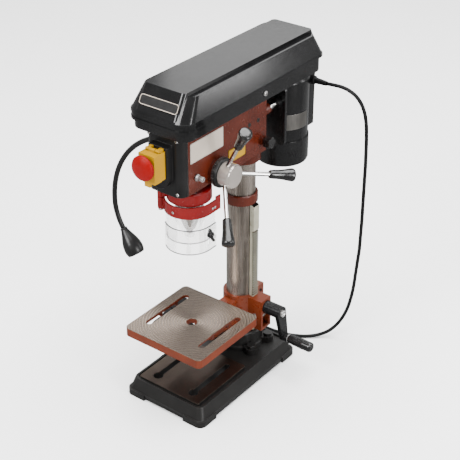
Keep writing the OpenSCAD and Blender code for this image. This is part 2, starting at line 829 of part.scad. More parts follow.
module v_belt() {
    color("#2a2a2a") translate([0, 0, belt_z]) {
        translate([0, spindle_y, 0]) rotate([0, 0, 180]) rotate_extrude(angle = 180) v_section();
        translate([0, motor_y, 0]) rotate_extrude(angle = 180) v_section();
        for (m = [0, 1]) mirror([m, 0, 0]) translate([0, motor_y, 0]) rotate([90, 0, 0])
            linear_extrude(motor_y - spindle_y) v_section();
    }
}

// Motor carriage
module slide_rods() {
    color(bright) for (x = [-1, 1] * rod_x)
        translate([x, 0, rod_z]) rod_y(slide_rod_r, rod_boss_y - 6.5, plate_y + plate_t);
}

module motor_plate() {
    color(black) difference() {
        union() {
            translate([0, plate_y + plate_t, 0]) rotate([90, 0, 0]) linear_extrude(plate_t)
                translate([0, (box_z0 + box_z1) / 2]) round_rect(2 * plate_half, box_z1 - box_z0, 8);
            for (x = [-1, 1] * rod_x) translate([x, 0, rod_z]) rod_y(rod_boss_r, plate_y - 4, plate_y + 1);
        }
        for (x = [-1, 1] * rod_x)
            translate([x, 0, rod_z]) rod_y(slide_rod_r + eps, plate_y - 5, plate_y + plate_t + 1);
    }
}

module motor_housing() {
    color(black) difference() {
        union() {
            translate([0, motor_y, motor_z0]) rotate_extrude() polygon([[0, 0], [motor_r, 0],
                [motor_r, motor_l - 8], [motor_r - 5, motor_l - 1], [motor_r - 12, motor_l], [0, motor_l]]);
            block(-pad_half, pad_half, plate_y + plate_t, motor_y - motor_r / 2, box_z0 + 6, box_z1 - 6);
        }
        translate([0, motor_y, motor_z0 + 8]) cylinder(r = motor_shaft_r + run_fit, h = motor_l);
    }
}

module motor_end_cap() {
    color(black) translate([0, motor_y, motor_cap_z]) difference() {
        rotate_extrude() polygon([[0, 0], [motor_cap_r - 5, 0], [motor_cap_r - 1.5, 1.5], [motor_cap_r, 5],
            [motor_cap_r, motor_cap_l], [motor_cap_r - 2, motor_cap_l], [motor_cap_r - 2, 5],
            [motor_cap_r - 5, 2], [0, 2]]);
        for (k = [0:11]) rotate([0, 0, 30 * k]) translate([motor_r / 2 - 6, -2, -1])
            cube([motor_r / 2 - 4, 4, 4]);
    }
}

module capacitor_box() {
    color(black) difference() {
        union() {
            translate([0, 0, box_z0]) linear_extrude(box_z1 - box_z0) union() {
                translate([-box_half, motor_y]) square([2 * box_half, box_back_y - motor_y - 5]);
                translate([-box_half + 5, motor_y]) square([2 * box_half - 10, box_back_y - motor_y]);
                for (x = [-1, 1]) translate([x * (box_half - 5), box_back_y - 5]) circle(r = 5);
            }
        }
        translate([0, motor_y, box_z0 - 1]) cylinder(r = motor_r, h = box_z1 - box_z0 + 2);
        translate([0, relief_y, relief_z]) rod_x(cord_r + 1, box_half - 8, box_half + 1);
        translate([0, motor_y, box_z0 - 1]) linear_extrude(box_z1) square([3 * motor_r, motor_r], center = true);
    }
}

module strain_relief() {
    color("#151515") translate([box_half, relief_y, relief_z]) rotate([0, 90, 0]) rotate_extrude() polygon([
        [0, -6], [cord_r + 0.9, -6], [cord_r + 0.9, 0], [cord_r + 4, 0], [cord_r + 4, 4], [cord_r + 2.2, 5],
        [cord_r + 0.8, relief_l], [0, relief_l]]);
}

module motor_shaft() {
    color(bright) translate([0, motor_y, motor_z0 + 9])
        cylinder(r = motor_shaft_r, h = pulley_z + pulley_steps * pulley_step_h - motor_z0 - 8);
}

module motor_pulley() {
    color(steel) translate([0, motor_y, pulley_z]) rotate_extrude()
        pulley_section(motor_shaft_r + eps, pulley_r0 + (pulley_steps - 1) * pulley_step_r, -pulley_step_r);
}

// Motor lock knob with five lobes
module lock_knob() {
    x0 = head_half + lock_boss_l + face_gap;
    color(black) translate([0, lock_knob_y, lock_knob_z]) {
        rod_x(lock_stem_r, head_half - lock_stem_l + 0.5, x0 + 1);
        rod_x(lock_stem_r + 2, x0, x0 + 4);
        translate([x0 + 3, 0, 0]) rotate([90, 0, 90]) linear_extrude(lock_knob_l - 3) polygon([
            for (i = [0:59]) (lock_knob_r + 1.2 * cos(30 * i)) * [cos(6 * i), sin(6 * i)]]);
    }
}

// Belt lid
module lid_shape(inset) {
    w0 = lid_w - 2 * inset;
    l0 = lid_l - 2 * inset;
    top_l = l0 - lid_front_draw - lid_back_draw;
    top_y = tray_y + (lid_front_draw - lid_back_draw) / 2;
    hull() {
        translate([0, tray_y, 0])
            slab(w0, l0, tray_corner_r + 3 - inset, head_top + 5, lid_side_z + lid_bead_h, $fn = 32);
        translate([0, top_y, 0])
            slab(w0 - 2 * lid_draw, top_l, tray_corner_r - 2 - inset, lid_shoulder_z - inset - eps,
                lid_shoulder_z - inset, $fn = 32);
    }
    foot_z = lid_side_z + lid_bead_h + 2;
    share = (foot_z - lid_side_z - lid_bead_h) / (lid_shoulder_z - lid_side_z - lid_bead_h);
    strip_w = lid_w - 2 * lid_draw - 2 * strip_margin - 2 * inset;
    foot_l = l0 - (lid_front_draw + lid_back_draw) * share + 2 * strip_proud;
    foot_y = tray_y + (lid_front_draw - lid_back_draw) * share / 2;
    strip_l = l0 - lid_front_draw - lid_back_draw + 2 * strip_lead;
    tapered(strip_w, foot_l, foot_y, 6 - inset, foot_z, strip_w - 2 * strip_draw, strip_l, top_y, 6 - inset,
        lid_z1 - inset);
}

module belt_lid() {
    color(black) {
        difference() {
            union() {
                lid_shape(0);
                translate([0, tray_y, 0]) slab(lid_w + 2 * lid_bead_t, lid_l + 2 * lid_bead_t,
                    tray_corner_r + 3 + lid_bead_t, lid_front_z, lid_front_z + lid_bead_h);
                translate([0, tray_y, 0]) slab(lid_w + 2 * lid_bead_t, lid_l + 2 * lid_bead_t,
                    tray_corner_r + 3 + lid_bead_t, lid_side_z, lid_side_z + lid_bead_h);
            }
            lid_shape(sheet_t);
            block(-lid_w, lid_w, lid_step_y, tray_y + lid_l, head_top, lid_side_z);
            block(-lid_w, lid_w, tray_y - lid_l, lid_step_y + 1, head_top, lid_front_z);
        }
        for (y = hinge_ys) difference() {
            union() {
                block(hinge_x - hinge_r, -lid_w / 2 + sheet_t, y - hinge_l - face_gap, y - face_gap,
                    lid_side_z, lid_side_z + lid_bead_h + 3);
                block(hinge_x - hinge_r, hinge_x + hinge_r, y - hinge_l - face_gap, y - face_gap, hinge_z,
                    lid_side_z + 1);
                translate([hinge_x, 0, hinge_z]) rod_y(hinge_r, y - hinge_l - face_gap, y - face_gap);
            }
            translate([hinge_x, 0, hinge_z]) rod_y(hinge_pin_r + run_fit, y - hinge_l - 1, y + 1);
        }
    }
}

// Spindle drive and quill
module spindle_pulley() {
    color(steel) {
        translate([0, spindle_y, pulley_z]) rotate_extrude()
            pulley_section(spindle_r + run_fit, pulley_r0, pulley_step_r);
        translate([0, spindle_y, quill_top + 3]) difference() {
            cylinder(r = quill_r - run_fit, h = pulley_z - quill_top - 3);
            translate([0, 0, -1]) cylinder(r = spindle_r + run_fit, h = pulley_z);
        }
    }
}

module quill_rack_cut() {
    far = quill_r + 5;
    low = feed_z + quill_gap_low * feed_pitch;
    high = feed_z + quill_gap_high * feed_pitch;
    gaps = [for (k = [quill_gap_low:quill_gap_high]) let (z = feed_z + k * feed_pitch, h = feed_pitch / 2) each [
        [quill_rack_tip, z - h + feed_tooth_tip], [quill_rack_root, z - h + feed_tooth_root],
        [quill_rack_root, z + h - feed_tooth_root], [quill_rack_tip, z + h - feed_tooth_tip]]];
    translate([-feed_face / 2 - 1.5, spindle_y, 0]) rotate([90, 0, 90]) linear_extrude(feed_face + 3)
        polygon(concat([[far, low - feed_pitch], [quill_rack_tip, low - feed_pitch]], gaps,
            [[quill_rack_tip, high + feed_pitch], [far, high + feed_pitch]]));
}

module quill() {
    color(steel) difference() {
        translate([0, spindle_y, quill_z0]) cylinder(r = quill_r, h = quill_top - quill_z0);
        translate([0, spindle_y, quill_z0 - 1])
            cylinder(r = spindle_r + run_fit, h = quill_top - quill_z0 + 2);
        quill_rack_cut();
    }
}

module guard_ring() {
    color(signal_red) difference() {
        union() {
            translate([0, spindle_y, guard_ring_z]) rotate_extrude() polygon([
                [guard_ring_r - guard_ring_wall, 0], [guard_ring_r, 0], [guard_ring_r, guard_ring_h - 2],
                [guard_ring_r - 2, guard_ring_h], [quill_r + run_fit, guard_ring_h],
                [quill_r + run_fit, guard_ring_h - guard_plate_t],
                [guard_ring_r - guard_ring_wall, guard_ring_h - guard_plate_t]]);
            translate([0, spindle_y, guard_ring_z + 0.8]) rotate([0, 0, guard_start])
                translate([guard_ring_r - 1.5, 1 - guard_knuckle_r, 0])
                cube([guard_pin_reach - guard_ring_r + 1.5, 2 * guard_knuckle_r - 2, guard_lug_h - 1.3]);
            translate([guard_pin_x, guard_pin_y, guard_ring_z + face_gap])
                cylinder(r = guard_knuckle_r, h = guard_lug_h - face_gap);
        }
        translate([guard_pin_x, guard_pin_y, guard_ring_z - 1])
            cylinder(r = guard_pin_r + eps, h = guard_lug_h + 2);
    }
}

module guard_hinge_pin() {
    color(steel) translate([guard_pin_x, guard_pin_y, 0]) {
        translate([0, 0, band_z0 - 3]) cylinder(r = guard_pin_r, h = guard_ring_z + guard_lug_h - band_z0 + 3);
        translate([0, 0, guard_ring_z + guard_lug_h]) cylinder(r = 2 * guard_pin_r, h = 3);
        translate([0, 0, band_z0 - 3]) cylinder(r = 2 * guard_pin_r, h = 3 - face_gap);
    }
}

// Wall of the guard: an arc from the hinge round the front, then a straight leg on the right
guard_arc_steps = 40;
function guard_arc(r, start, i) =
    let (a = start + (360 - start) * i / guard_arc_steps) [r * cos(a), r * sin(a)];
module guard_wall(r, t, h, leg, start) {
    linear_extrude(h) polygon(concat(
        [for (i = [0:guard_arc_steps]) guard_arc(r, start, i)], [[r, leg], [r + t, leg]],
        [for (i = [guard_arc_steps:-1:0]) guard_arc(r + t, start, i)]));
}

module guard_band() {
    color(signal_red) difference() {
        union() {
            translate([0, spindle_y, band_z0]) {
                guard_wall(band_in_r, band_t, guard_band_h, band_leg, guard_start);
                block(band_in_r, band_in_r + band_t, visor_leg, band_leg, guard_band_h - 1,
                    guard_band_h + ear_rise);
                rotate([0, 0, guard_start]) translate([band_in_r + 0.4, 1 - guard_knuckle_r, 0.5])
                    cube([guard_pin_reach - band_in_r, 2 * guard_knuckle_r - 2, guard_band_h - 1]);
            }
            translate([guard_pin_x, guard_pin_y, band_z0]) cylinder(r = guard_knuckle_r, h = guard_band_h);
        }
        translate([guard_pin_x, guard_pin_y, band_z0 - 1])
            cylinder(r = guard_pin_r + run_fit, h = guard_band_h + 2);
    }
}

module visor_upper() {
    color(clear) {
        translate([0, spindle_y, visor_upper_z0])
            guard_wall(visor_r, visor_t, band_z1 - 2 - visor_upper_z0, visor_leg, guard_start + 2);
        translate([0, wing_y, wing_z]) rod_x(wing_bolt_r, visor_outer_r - 1.2, lower_in_r + visor_t + 12);
    }
}

module visor_lower() {
    color(clear) difference() {
        translate([0, spindle_y, visor_lower_z0])
            guard_wall(lower_in_r, visor_t, visor_lower_h, visor_leg, guard_start + 12);
        translate([0, wing_y, 0])
            block(lower_in_r - 2, lower_in_r + visor_t + 2, -wing_bolt_r - 0.3, wing_bolt_r + 0.3,
                wing_z - visor_raise - wing_bolt_r - 0.5, wing_z + visor_drop + wing_bolt_r + 0.5);
    }
}

module wing_nut() {
    x0 = lower_in_r + visor_t + face_gap;
    color(black) translate([x0, wing_y, wing_z]) difference() {
        union() {
            rod_x(5, 0, 6);
            for (a = [20, 200]) rotate([a, 0, 0]) hull() {
                translate([1.8, 0, 3]) rod_y(1.4, -1.2, 1.2, $fn = 24);
                translate([5, 0, 10]) rod_y(3.2, -1.2, 1.2, $fn = 24);
            }
        }
        rod_x(wing_bolt_r + run_fit, -1, 12);
    }
}

module spindle() {
    top = pulley_z + pulley_steps * pulley_step_h + 2;
    color(bright) translate([0, spindle_y, 0]) {
        translate([0, 0, chuck_top]) cylinder(r = spindle_r, h = top - chuck_top);
        translate([0, 0, chuck_top - chuck_bore_l + 1]) cylinder(r = arbor_r, h = chuck_bore_l);
    }
}

module jaw_axis(k) {
    translate([0, spindle_y, jaw_z]) rotate([0, 0, 90 + 120 * k]) translate([jaw_axis_r, 0, 0])
        rotate([0, jaw_lean, 0]) children();
}

module chuck_body() {
    color(steel) difference() {
        translate([0, spindle_y, 0]) rotate_extrude() polygon([[0, chuck_nose_z], [chuck_nose_r, chuck_nose_z],
            [chuck_core_r - 1, chuck_neck_z - 3], [chuck_core_r, chuck_neck_z], [chuck_core_r, chuck_top - 2],
            [chuck_core_r - 2, chuck_top], [0, chuck_top]]);
        translate([0, spindle_y, chuck_top - chuck_bore_l]) cylinder(r = arbor_r + eps, h = chuck_bore_l + 1);
        for (k = [0:2]) jaw_axis(k) translate([0, 0, -2]) cylinder(r = jaw_r + run_fit, h = jaw_l + jaw_travel + 4);
        translate([0, spindle_y, chuck_nose_z - 1]) cylinder(r = jaw_axis_r + jaw_r, h = 16);
    }
}

module chuck_sleeve() {
    outer = chuck_sleeve_d / 2;
    color(steel) translate([0, spindle_y, chuck_sleeve_z]) difference() {
        rotate_extrude() polygon([[chuck_core_r + run_fit, 0], [outer - 1.5, 0], [outer, 4], [outer, 17],
            [outer - 1.5, chuck_sleeve_h], [chuck_core_r + run_fit, chuck_sleeve_h]]);
        for (k = [0:sleeve_teeth - 1]) rotate([0, 0, 360 * k / sleeve_teeth])
            translate([outer - 1.2, -0.9, -1]) cube([4, 1.8, 4.5]);
    }
}

module chuck_jaw(k) {
    color(bright) intersection() {
        jaw_axis(k) translate([0, 0, -3]) cylinder(r = jaw_r, h = jaw_l + 3);
        translate([0, spindle_y, jaw_z]) rotate([0, 0, 90 + 120 * k]) linear_extrude(2 * jaw_l)
            polygon([[2 * jaw_split, 0], [60, -60 * sqrt(3) + 4 * jaw_split], [60, 60 * sqrt(3) - 4 * jaw_split]]);
    }
}

module chuck_jaw_1() { chuck_jaw(0); }
module chuck_jaw_2() { chuck_jaw(1); }
module chuck_jaw_3() { chuck_jaw(2); }

// Feed
module pinion_shaft() {
    color(steel) translate([0, feed_y, feed_z]) {
        rod_x(feed_shaft_r, spring_cup_x - spring_cup_l + spring_wall + 1, hub_x + hub_l - 2);
        rotate([90, 0, 90]) translate([0, 0, -feed_face / 2]) linear_extrude(feed_face)
            gear_outline(feed_teeth, feed_tip_r, feed_root_r, feed_tooth_tip, feed_tooth_root);
        rod_x(feed_tip_r + 0.5, spring_cup_x, -feed_face / 2 - 4.5);
    }
}

module at_handles() {
    for (a = handle_angles) translate([0, feed_y, feed_z]) rotate([a - 90, 0, 0])
        translate([handle_root_x, 0, handle_seat]) rotate([0, handle_rake, 0]) children();
}

handle_rod_l = (handle_reach - handle_seat) / cos(handle_rake);

module feed_hub() {
    color(bright) difference() {
        translate([hub_x, feed_y, feed_z]) rotate([0, 90, 0]) rotate_extrude() polygon([[0, hub_l + 2],
            [0, hub_l - 2], [feed_shaft_r + eps, hub_l - 2], [feed_shaft_r + eps, 0], [hub_r, 0],
            [hub_r, hub_l - 1], [hub_r - 1, hub_l], [hub_r - 1.6, hub_l + 2]]);
        at_handles() cylinder(d = handle_rod_d + 2 * eps, h = handle_rod_l);
    }
}

module handle_rods() {
    color(bright) at_handles() cylinder(d = handle_rod_d, h = handle_rod_l - 3);
}

module handle_grips() {
    color(black) at_handles() translate([0, 0, handle_rod_l - grip_l]) rotate_extrude() polygon([
        [handle_rod_d / 2 + eps, 0], [grip_r - 4.4, 0], [grip_r - 3.6, 1.5], [grip_r - 3.2, 6],
        [grip_r - 3, grip_l * 0.3], [grip_r - 2.4, grip_l * 0.5], [grip_r - 1.2, grip_l * 0.68],
        [grip_r - 0.2, grip_l * 0.84], [grip_r, grip_l * 0.91], [grip_r - 0.6, grip_l - 1.6],
        [grip_r - 2.4, grip_l - 0.5], [grip_r - 5.5, grip_l], [0, grip_l],
        [0, grip_l - 3 + eps], [handle_rod_d / 2 + eps, grip_l - 3 + eps]]);
}

module depth_collar() {
    r = depth_collar_d / 2;
    color(black) translate([depth_collar_x, feed_y, feed_z]) rotate([0, 90, 0]) rotate_extrude() polygon([
        [feed_shaft_r + run_fit, 0], [r - 1, 0], [r, 1], [r, depth_collar_l - 2], [r - 2, depth_collar_l],
        [feed_shaft_r + run_fit, depth_collar_l]]);
}

module spring_housing() {
    color(black) translate([spring_cup_x, feed_y, feed_z]) rotate([0, -90, 0]) rotate_extrude() polygon([
        [spring_cup_r - spring_wall, 0], [spring_cup_r, 0], [spring_cup_r, spring_cup_l - 2],
        [spring_cup_r - 2, spring_cup_l], [0, spring_cup_l], [0, spring_cup_l - spring_wall],
        [spring_cup_r - spring_wall, spring_cup_l - spring_wall]]);
}

module return_spring() {
    r0 = feed_shaft_r + 1.2;
    r1 = spring_cup_r - spring_wall - 0.5;
    steps = 24 * spring_turns;
    function spiral(i, side) =
        let (r = r0 + (r1 - r0) * i / steps + side * spring_band_t / 2, a = 360 * spring_turns * i / steps)
        [r * cos(a), r * sin(a)];
    color(steel) translate([spring_cup_x - 1.5, feed_y, feed_z]) rotate([0, -90, 0])
        linear_extrude(spring_cup_l - spring_wall - 3)
        polygon(concat([for (i = [0:steps]) spiral(i, 1)], [for (i = [steps:-1:0]) spiral(i, -1)]));
}

// Table and its lift
module rack() {
    gaps = [for (k = [rack_gap_low:rack_gap_high]) let (z = lift_z + k * lift_pitch, h = lift_pitch / 2) each [
        [rack_tip_x, z - h + tooth_tip], [rack_root_x, z - h + tooth_root],
        [rack_root_x, z + h - tooth_root], [rack_tip_x, z + h - tooth_tip]]];
    color(zinc) translate([0, col_y + rack_w / 2, 0]) rotate([90, 0, 0]) linear_extrude(rack_w)
        polygon(concat([[rack_back_x, rack_z0], [rack_tip_x, rack_z0]], gaps,
            [[rack_tip_x, rack_z1 - 3], [rack_tip_x - 3, rack_z1], [rack_back_x, rack_z1]]));
}

module table_bracket() {
    top = bracket_z + bracket_h;
    color(oxide) difference() {
        union() {
            translate([0, col_y, bracket_z]) cylinder(r = bracket_r, h = bracket_h);
            translate([0, col_y, 0])
                block(0, gearbox_x, -gearbox_half, gearbox_half, bracket_z, worm_z + worm_shaft_r + 8);
            block(-ear_half, ear_half, col_y + column_r, ear_y + 9, ear_z - ear_h / 2, ear_z + ear_h / 2);
            translate([0, 0, tilt_z]) rod_y(tilt_boss_r, tilt_face_y + face_gap, col_y - column_r - 2);
            block(-12, 12, spindle_y + table_w / 2 + 2, col_y - column_r - 2, bracket_z, top - 6);
        }
        translate([0, col_y, bracket_z - 1]) cylinder(r = column_r + slide_fit, h = bracket_h + 2);
        translate([0, col_y, 0]) {
            block(0, rack_tip_x + 0.4, -rack_w / 2 - face_gap, rack_w / 2 + face_gap, bracket_z - 1, top + 20);
            block(rack_root_x - 1, bearing_x, -pocket_half, pocket_half, bracket_z + 5, worm_z - 4);
            block(rack_root_x, gearbox_x + 1, -pocket_half, pocket_half, bracket_z + 5,
                worm_z - worm_shaft_r - 4);
            translate([0, 0, worm_z]) rod_x(worm_core_r + worm_throw + 0.6, rack_tip_x, bearing_x);
            translate([0, 0, worm_z]) rod_x(worm_shaft_r + run_fit, bearing_x - 1, gearbox_x + 1);
            translate([lift_x, 0, lift_z]) rod_y(lift_pin_r + run_fit, -gearbox_half - 1, gearbox_half + 1);
        }
        block(-clamp_slit / 2, clamp_slit / 2, col_y, ear_y + 10, bracket_z - 1, top + 1);
        translate([0, ear_y, ear_z]) rod_x(clamp_screw_r + run_fit, -ear_half - 1, ear_half + 1);
        translate([0, 0, tilt_z])
            rod_y(tilt_bolt_d / 2 + eps, tilt_face_y - 1, tilt_face_y + tilt_boss_l);
    }
}

module lock_lever() {
    x0 = -ear_half - face_gap;
    color(black) translate([0, ear_y, ear_z]) {
        rod_x(clamp_screw_r, x0 - 1, ear_half - 1);
        rod_x(8, x0 - 12, x0);
        translate([x0 - 6, 0, -lock_lever_l]) cylinder(r1 = 3.4, r2 = 4.4, h = lock_lever_l);
        translate([x0 - 6, 0, -lock_lever_l]) sphere(r = 6.5);
    }
}

module worm_shaft() {
    color(steel) translate([0, col_y, worm_z]) {
        translate([worm_x0, 0, 0]) rotate([0, 90, 0])
            linear_extrude(worm_l, twist = -360 * worm_l / lift_pitch, slices = 48, $fn = 20)
            rotate(180 - 360 * (lift_x - worm_x0) / lift_pitch) translate([worm_throw, 0]) circle(r = worm_core_r);
        rod_x(worm_shaft_r, worm_x0 + worm_l - 1, crank_x + crank_arm_t + 1);
    }
}

module crank_arm() {
    color(black) difference() {
        union() {
            translate([0, col_y, worm_z]) rod_x(crank_hub_r, gearbox_x + face_gap, crank_x + crank_arm_t);
            hull() {
                translate([0, col_y, worm_z]) rod_x(crank_hub_r, crank_x, crank_x + crank_arm_t, $fn = 32);
                translate([0, crank_pin_y, crank_pin_z]) rod_x(crank_boss_r, crank_x, crank_x + crank_arm_t, $fn = 32);
            }
            translate([0, crank_pin_y, crank_pin_z])
                rod_x(crank_boss_r - 0.5, crank_x + crank_arm_t - 1, crank_x + crank_arm_t + crank_boss_l);
            translate([0, crank_pin_y, crank_pin_z])
                rod_x(crank_pin_r, crank_x + crank_arm_t + crank_boss_l - 1, crank_knob_x + crank_knob_l - 3);
        }
        translate([0, col_y, worm_z]) rod_x(worm_shaft_r + eps, gearbox_x, crank_x + crank_arm_t + 1);
    }
}

module crank_knob() {
    color(black) translate([crank_knob_x, crank_pin_y, crank_pin_z]) rotate([0, 90, 0]) rotate_extrude()
        polygon([[crank_pin_r + run_fit, 0], [crank_knob_r - 1.6, 0], [crank_knob_r - 0.8, 1.2],
            [crank_knob_r - 0.6, 9], [crank_knob_r, crank_knob_l * 0.6], [crank_knob_r - 0.3, crank_knob_l - 3],
            [crank_knob_r - 1.4, crank_knob_l - 1], [crank_knob_r - 3, crank_knob_l], [0, crank_knob_l],
            [0, crank_knob_l - 2.5], [crank_pin_r + run_fit, crank_knob_l - 2.5]]);
}

module lift_pinion() {
    color(steel) translate([lift_x, col_y, lift_z]) {
        rod_y(lift_pin_r, -gearbox_half + 0.5, gearbox_half - 0.5);
        translate([0, pocket_half - 2.5, 0]) rotate([90, 0, 0]) linear_extrude(2 * pocket_half - 5)
            gear_outline(lift_teeth, lift_r + 0.8 * lift_module, lift_r - 1.27 * lift_module, tooth_tip,
                0.9 * tooth_root);
    }
}

module table() {
    color(steel) difference() {
        union() {
            translate([0, spindle_y, 0]) difference() {
                slab(table_w, table_w, 8, table_z - table_t, table_z);
                slab(table_w - 16, table_w - 16, 6, table_z - table_t - 1, table_z - 9);
            }
            translate([0, spindle_y, 0]) for (y = [-38, 0, 38])
                block(-table_w / 2 + 4, table_w / 2 - 4, y - 2.5, y + 2.5, table_z - table_t, table_z - 8);
            translate([0, spindle_y, 0])
                block(-2.5, 2.5, -table_w / 2 + 4, table_w / 2 - 4, table_z - table_t, table_z - 8);
            translate([0, 0, tilt_z]) rod_y(tilt_boss_r, tilt_face_y - tilt_boss_l, tilt_face_y);
            block(-13, 13, tilt_face_y - tilt_boss_l, tilt_face_y, tilt_z, table_z - 8);
        }
        for (x = [-1, 1] * table_slot_pitch / 2)
            slot_cut(table_slot_w, x, spindle_y + 4 - (table_slot_l - table_slot_w) / 2,
                spindle_y + 4 + (table_slot_l - table_slot_w) / 2, table_z - table_t - 1, table_z + 1);
        for (x = [-1, 1] * table_slot_pitch / 2)
            slot_cut(table_slot_w + 9, x, spindle_y + 4 - (table_slot_l - table_slot_w) / 2,
                spindle_y + 4 + (table_slot_l - table_slot_w) / 2, table_z - table_t - 1, table_z - table_lip_t);
        translate([0, spindle_y, table_z - table_t - 1]) cylinder(d = table_hole_d, h = table_t + 2);
        translate([0, 0, tilt_z])
            rod_y(tilt_bolt_d / 2 + run_fit, tilt_face_y - tilt_boss_l - 1, tilt_face_y + 1);
    }
}

module tilt_bolt() {
    y0 = tilt_face_y - tilt_boss_l - face_gap;
    color(steel) translate([0, 0, tilt_z]) {
        rod_y(tilt_bolt_d / 2, y0 - 1, tilt_face_y + tilt_boss_l - 2);
        rod_y(0.95 * tilt_bolt_d, y0 - tilt_head_h, y0, $fn = 6);
    }
}

// Lamp on a gooseneck
neck_p1 = [-head_half - neck_ferrule_l * cos(neck_lean), neck_z - neck_ferrule_l * sin(neck_lean)];
neck_c1 = neck_p1 + neck_bend_r * [sin(neck_lean), -cos(neck_lean)];
neck_p2 = neck_c1 + neck_bend_r * [-sin(neck_bend_end), cos(neck_bend_end)];
neck_c2 = neck_p2 + neck_hook_r * [sin(neck_bend_end), -cos(neck_bend_end)];
neck_p3 = neck_c2 + neck_hook_r * [-sin(neck_hook_end), cos(neck_hook_end)];

// Points of the neck: the long bend, then the hook down to the lamp
function bend(c, r, from, to, n) = [for (i = [0:n]) let (a = from + (to - from) * i / n)
    [c[0] - r * sin(a), neck_y, c[1] + r * cos(a)]];
neck_bend = bend(neck_c1, neck_bend_r, neck_lean, neck_bend_end, 20);
neck_hook = bend(neck_c2, neck_hook_r, neck_bend_end, neck_hook_end, 6);
neck_route = concat(neck_bend, [for (i = [1:6]) neck_hook[i]]);

module lamp_gooseneck() {
    color(black) {
        intersection() {
            translate([-head_half, neck_y, neck_z]) rotate([0, -90 - neck_lean, 0])
                translate([0, 0, -6]) cylinder(r = gooseneck_r + 2, h = neck_ferrule_l + 7);
            block(-head_half - 100, -head_half, neck_y - 50, neck_y + 50, neck_z - 50, neck_z + 50);
        }
        swept_tube(neck_route, gooseneck_r, 12);
    }
}

module lamp_head() {
    mouth = lamp_d / 2;
    color(black) translate([neck_p3[0], neck_y, neck_p3[1]]) rotate([0, -90 - neck_hook_end, 0])
        rotate_extrude() polygon([[0, 0], [gooseneck_r + 1, 0], [gooseneck_r + 1.5, 3], [mouth - 7.4, lamp_l * 0.2],
            [mouth - 4.8, lamp_l * 0.34], [mouth - 2.4, lamp_l * 0.48], [mouth - 0.8, lamp_l * 0.62],
            [mouth, lamp_l * 0.76], [mouth - 0.3, lamp_l * 0.87], [mouth - 1.4, lamp_l * 0.96],
            [mouth - 2.4, lamp_l], [mouth - 4.2, lamp_l], [mouth - 4.2, lamp_l - 3.5], [0, lamp_l - 3.5]]);
}

// Switch
module switch_body() {
    half = switch_w / 2;
    color(yellow) {
        difference() {
            block(-half, half, switch_y - switch_base_t, switch_y, switch_z0, switch_z1);
            translate([0, 0, start_z]) rod_y(start_r + run_fit, switch_y - switch_base_t - 1, switch_y - 1);
        }
        for (x = [-1, 1]) difference() {
            union() {
                block(x * 9 - 3, x * 9 + 3, flap_hinge_y, switch_y, switch_z1 - 1, flap_hinge_z + 1.5);
                translate([0, flap_hinge_y, flap_hinge_z]) rod_x(flap_knuckle_r - 0.5, x * 9 - 3, x * 9 + 3);
            }
            block(x * 9 - 4, x * 9 + 4, flap_hinge_y - 6, flap_y + face_gap, switch_z1 - 2, switch_z1 + 0.5);
        }
        translate([0, flap_hinge_y, flap_hinge_z]) rod_x(flap_pin_r, -9, 9);
    }
}

module switch_flap() {
    half = switch_w / 2 + 0.5;
    front = flap_y - flap_depth;
    color(yellow) difference() {
        union() {
            difference() {
                block(-half, half, front, flap_y, switch_z0 - 0.5, switch_z1);
                block(-half + flap_wall, half - flap_wall, front + flap_wall, flap_y + 1,
                    switch_z0 - 0.5 + flap_wall, switch_z1 - flap_wall);
            }
            block(-5, 5, front, front + 4, switch_z0 - 7, switch_z0);
            block(-5.4, 5.4, flap_hinge_y - flap_knuckle_r, flap_hinge_y, switch_z1 - flap_wall, flap_hinge_z);
            translate([0, flap_hinge_y, flap_hinge_z]) rod_x(flap_knuckle_r, -5.4, 5.4);
        }
        translate([0, flap_hinge_y, flap_hinge_z]) rod_x(flap_pin_r + run_fit, -7, 7);
        translate([0, 0, mushroom_z]) rod_y(5 + run_fit, front - 1, front + flap_wall + 1);
    }
}

module stop_button() {
    back = flap_y - flap_depth - mushroom_gap;
    color(signal_red) translate([0, back, mushroom_z]) rotate([90, 0, 0]) rotate_extrude() polygon([
        [0, -mushroom_gap - 8], [5, -mushroom_gap - 8], [5, 0], [mushroom_r - 1, 0], [mushroom_r, 1],
        [mushroom_r, 4], [mushroom_r - 2, 7], [mushroom_r - 7, mushroom_h - 1.5], [mushroom_r - 13, mushroom_h],
        [0, mushroom_h]]);
}

module start_button() {
    front = switch_y - switch_base_t - start_proud;
    color("#2f8f3a") translate([0, 0, start_z])
        rod_y(start_r, front, switch_y - 1 - start_travel - face_gap);
}

// Mains lead
module cord_lead() {
    color("#151515") swept_tube(lead_route, cord_r, cord_sides);
}

module cord_coil() {
    color("#151515") swept_tube(coil_route, cord_r, coil_sides);
}

module cord_tail() {
    color("#151515") swept_tube(tail_route, cord_r, cord_sides);
}

module mains_plug() {
    color("#151515") translate([coil_x - coil_r, plug_y, tail_z]) {
        rotate([-90, 0, 0]) rotate_extrude() polygon([[0, 0], [cord_r + 1, 0], [cord_r + 4, plug_neck_l],
            [cord_r + 4, plug_neck_l + 2], [0, plug_neck_l + 2]]);
        translate([0, plug_neck_l + plug_l, 0]) rotate([90, 0, 0]) linear_extrude(plug_l)
            round_rect(plug_w, plug_h, 6);
        for (x = [-9.5, 9.5]) translate([x, 0, 0])
            rod_y(2.4, plug_neck_l + plug_l - 1, plug_neck_l + plug_l + plug_pin_l);
    }
}

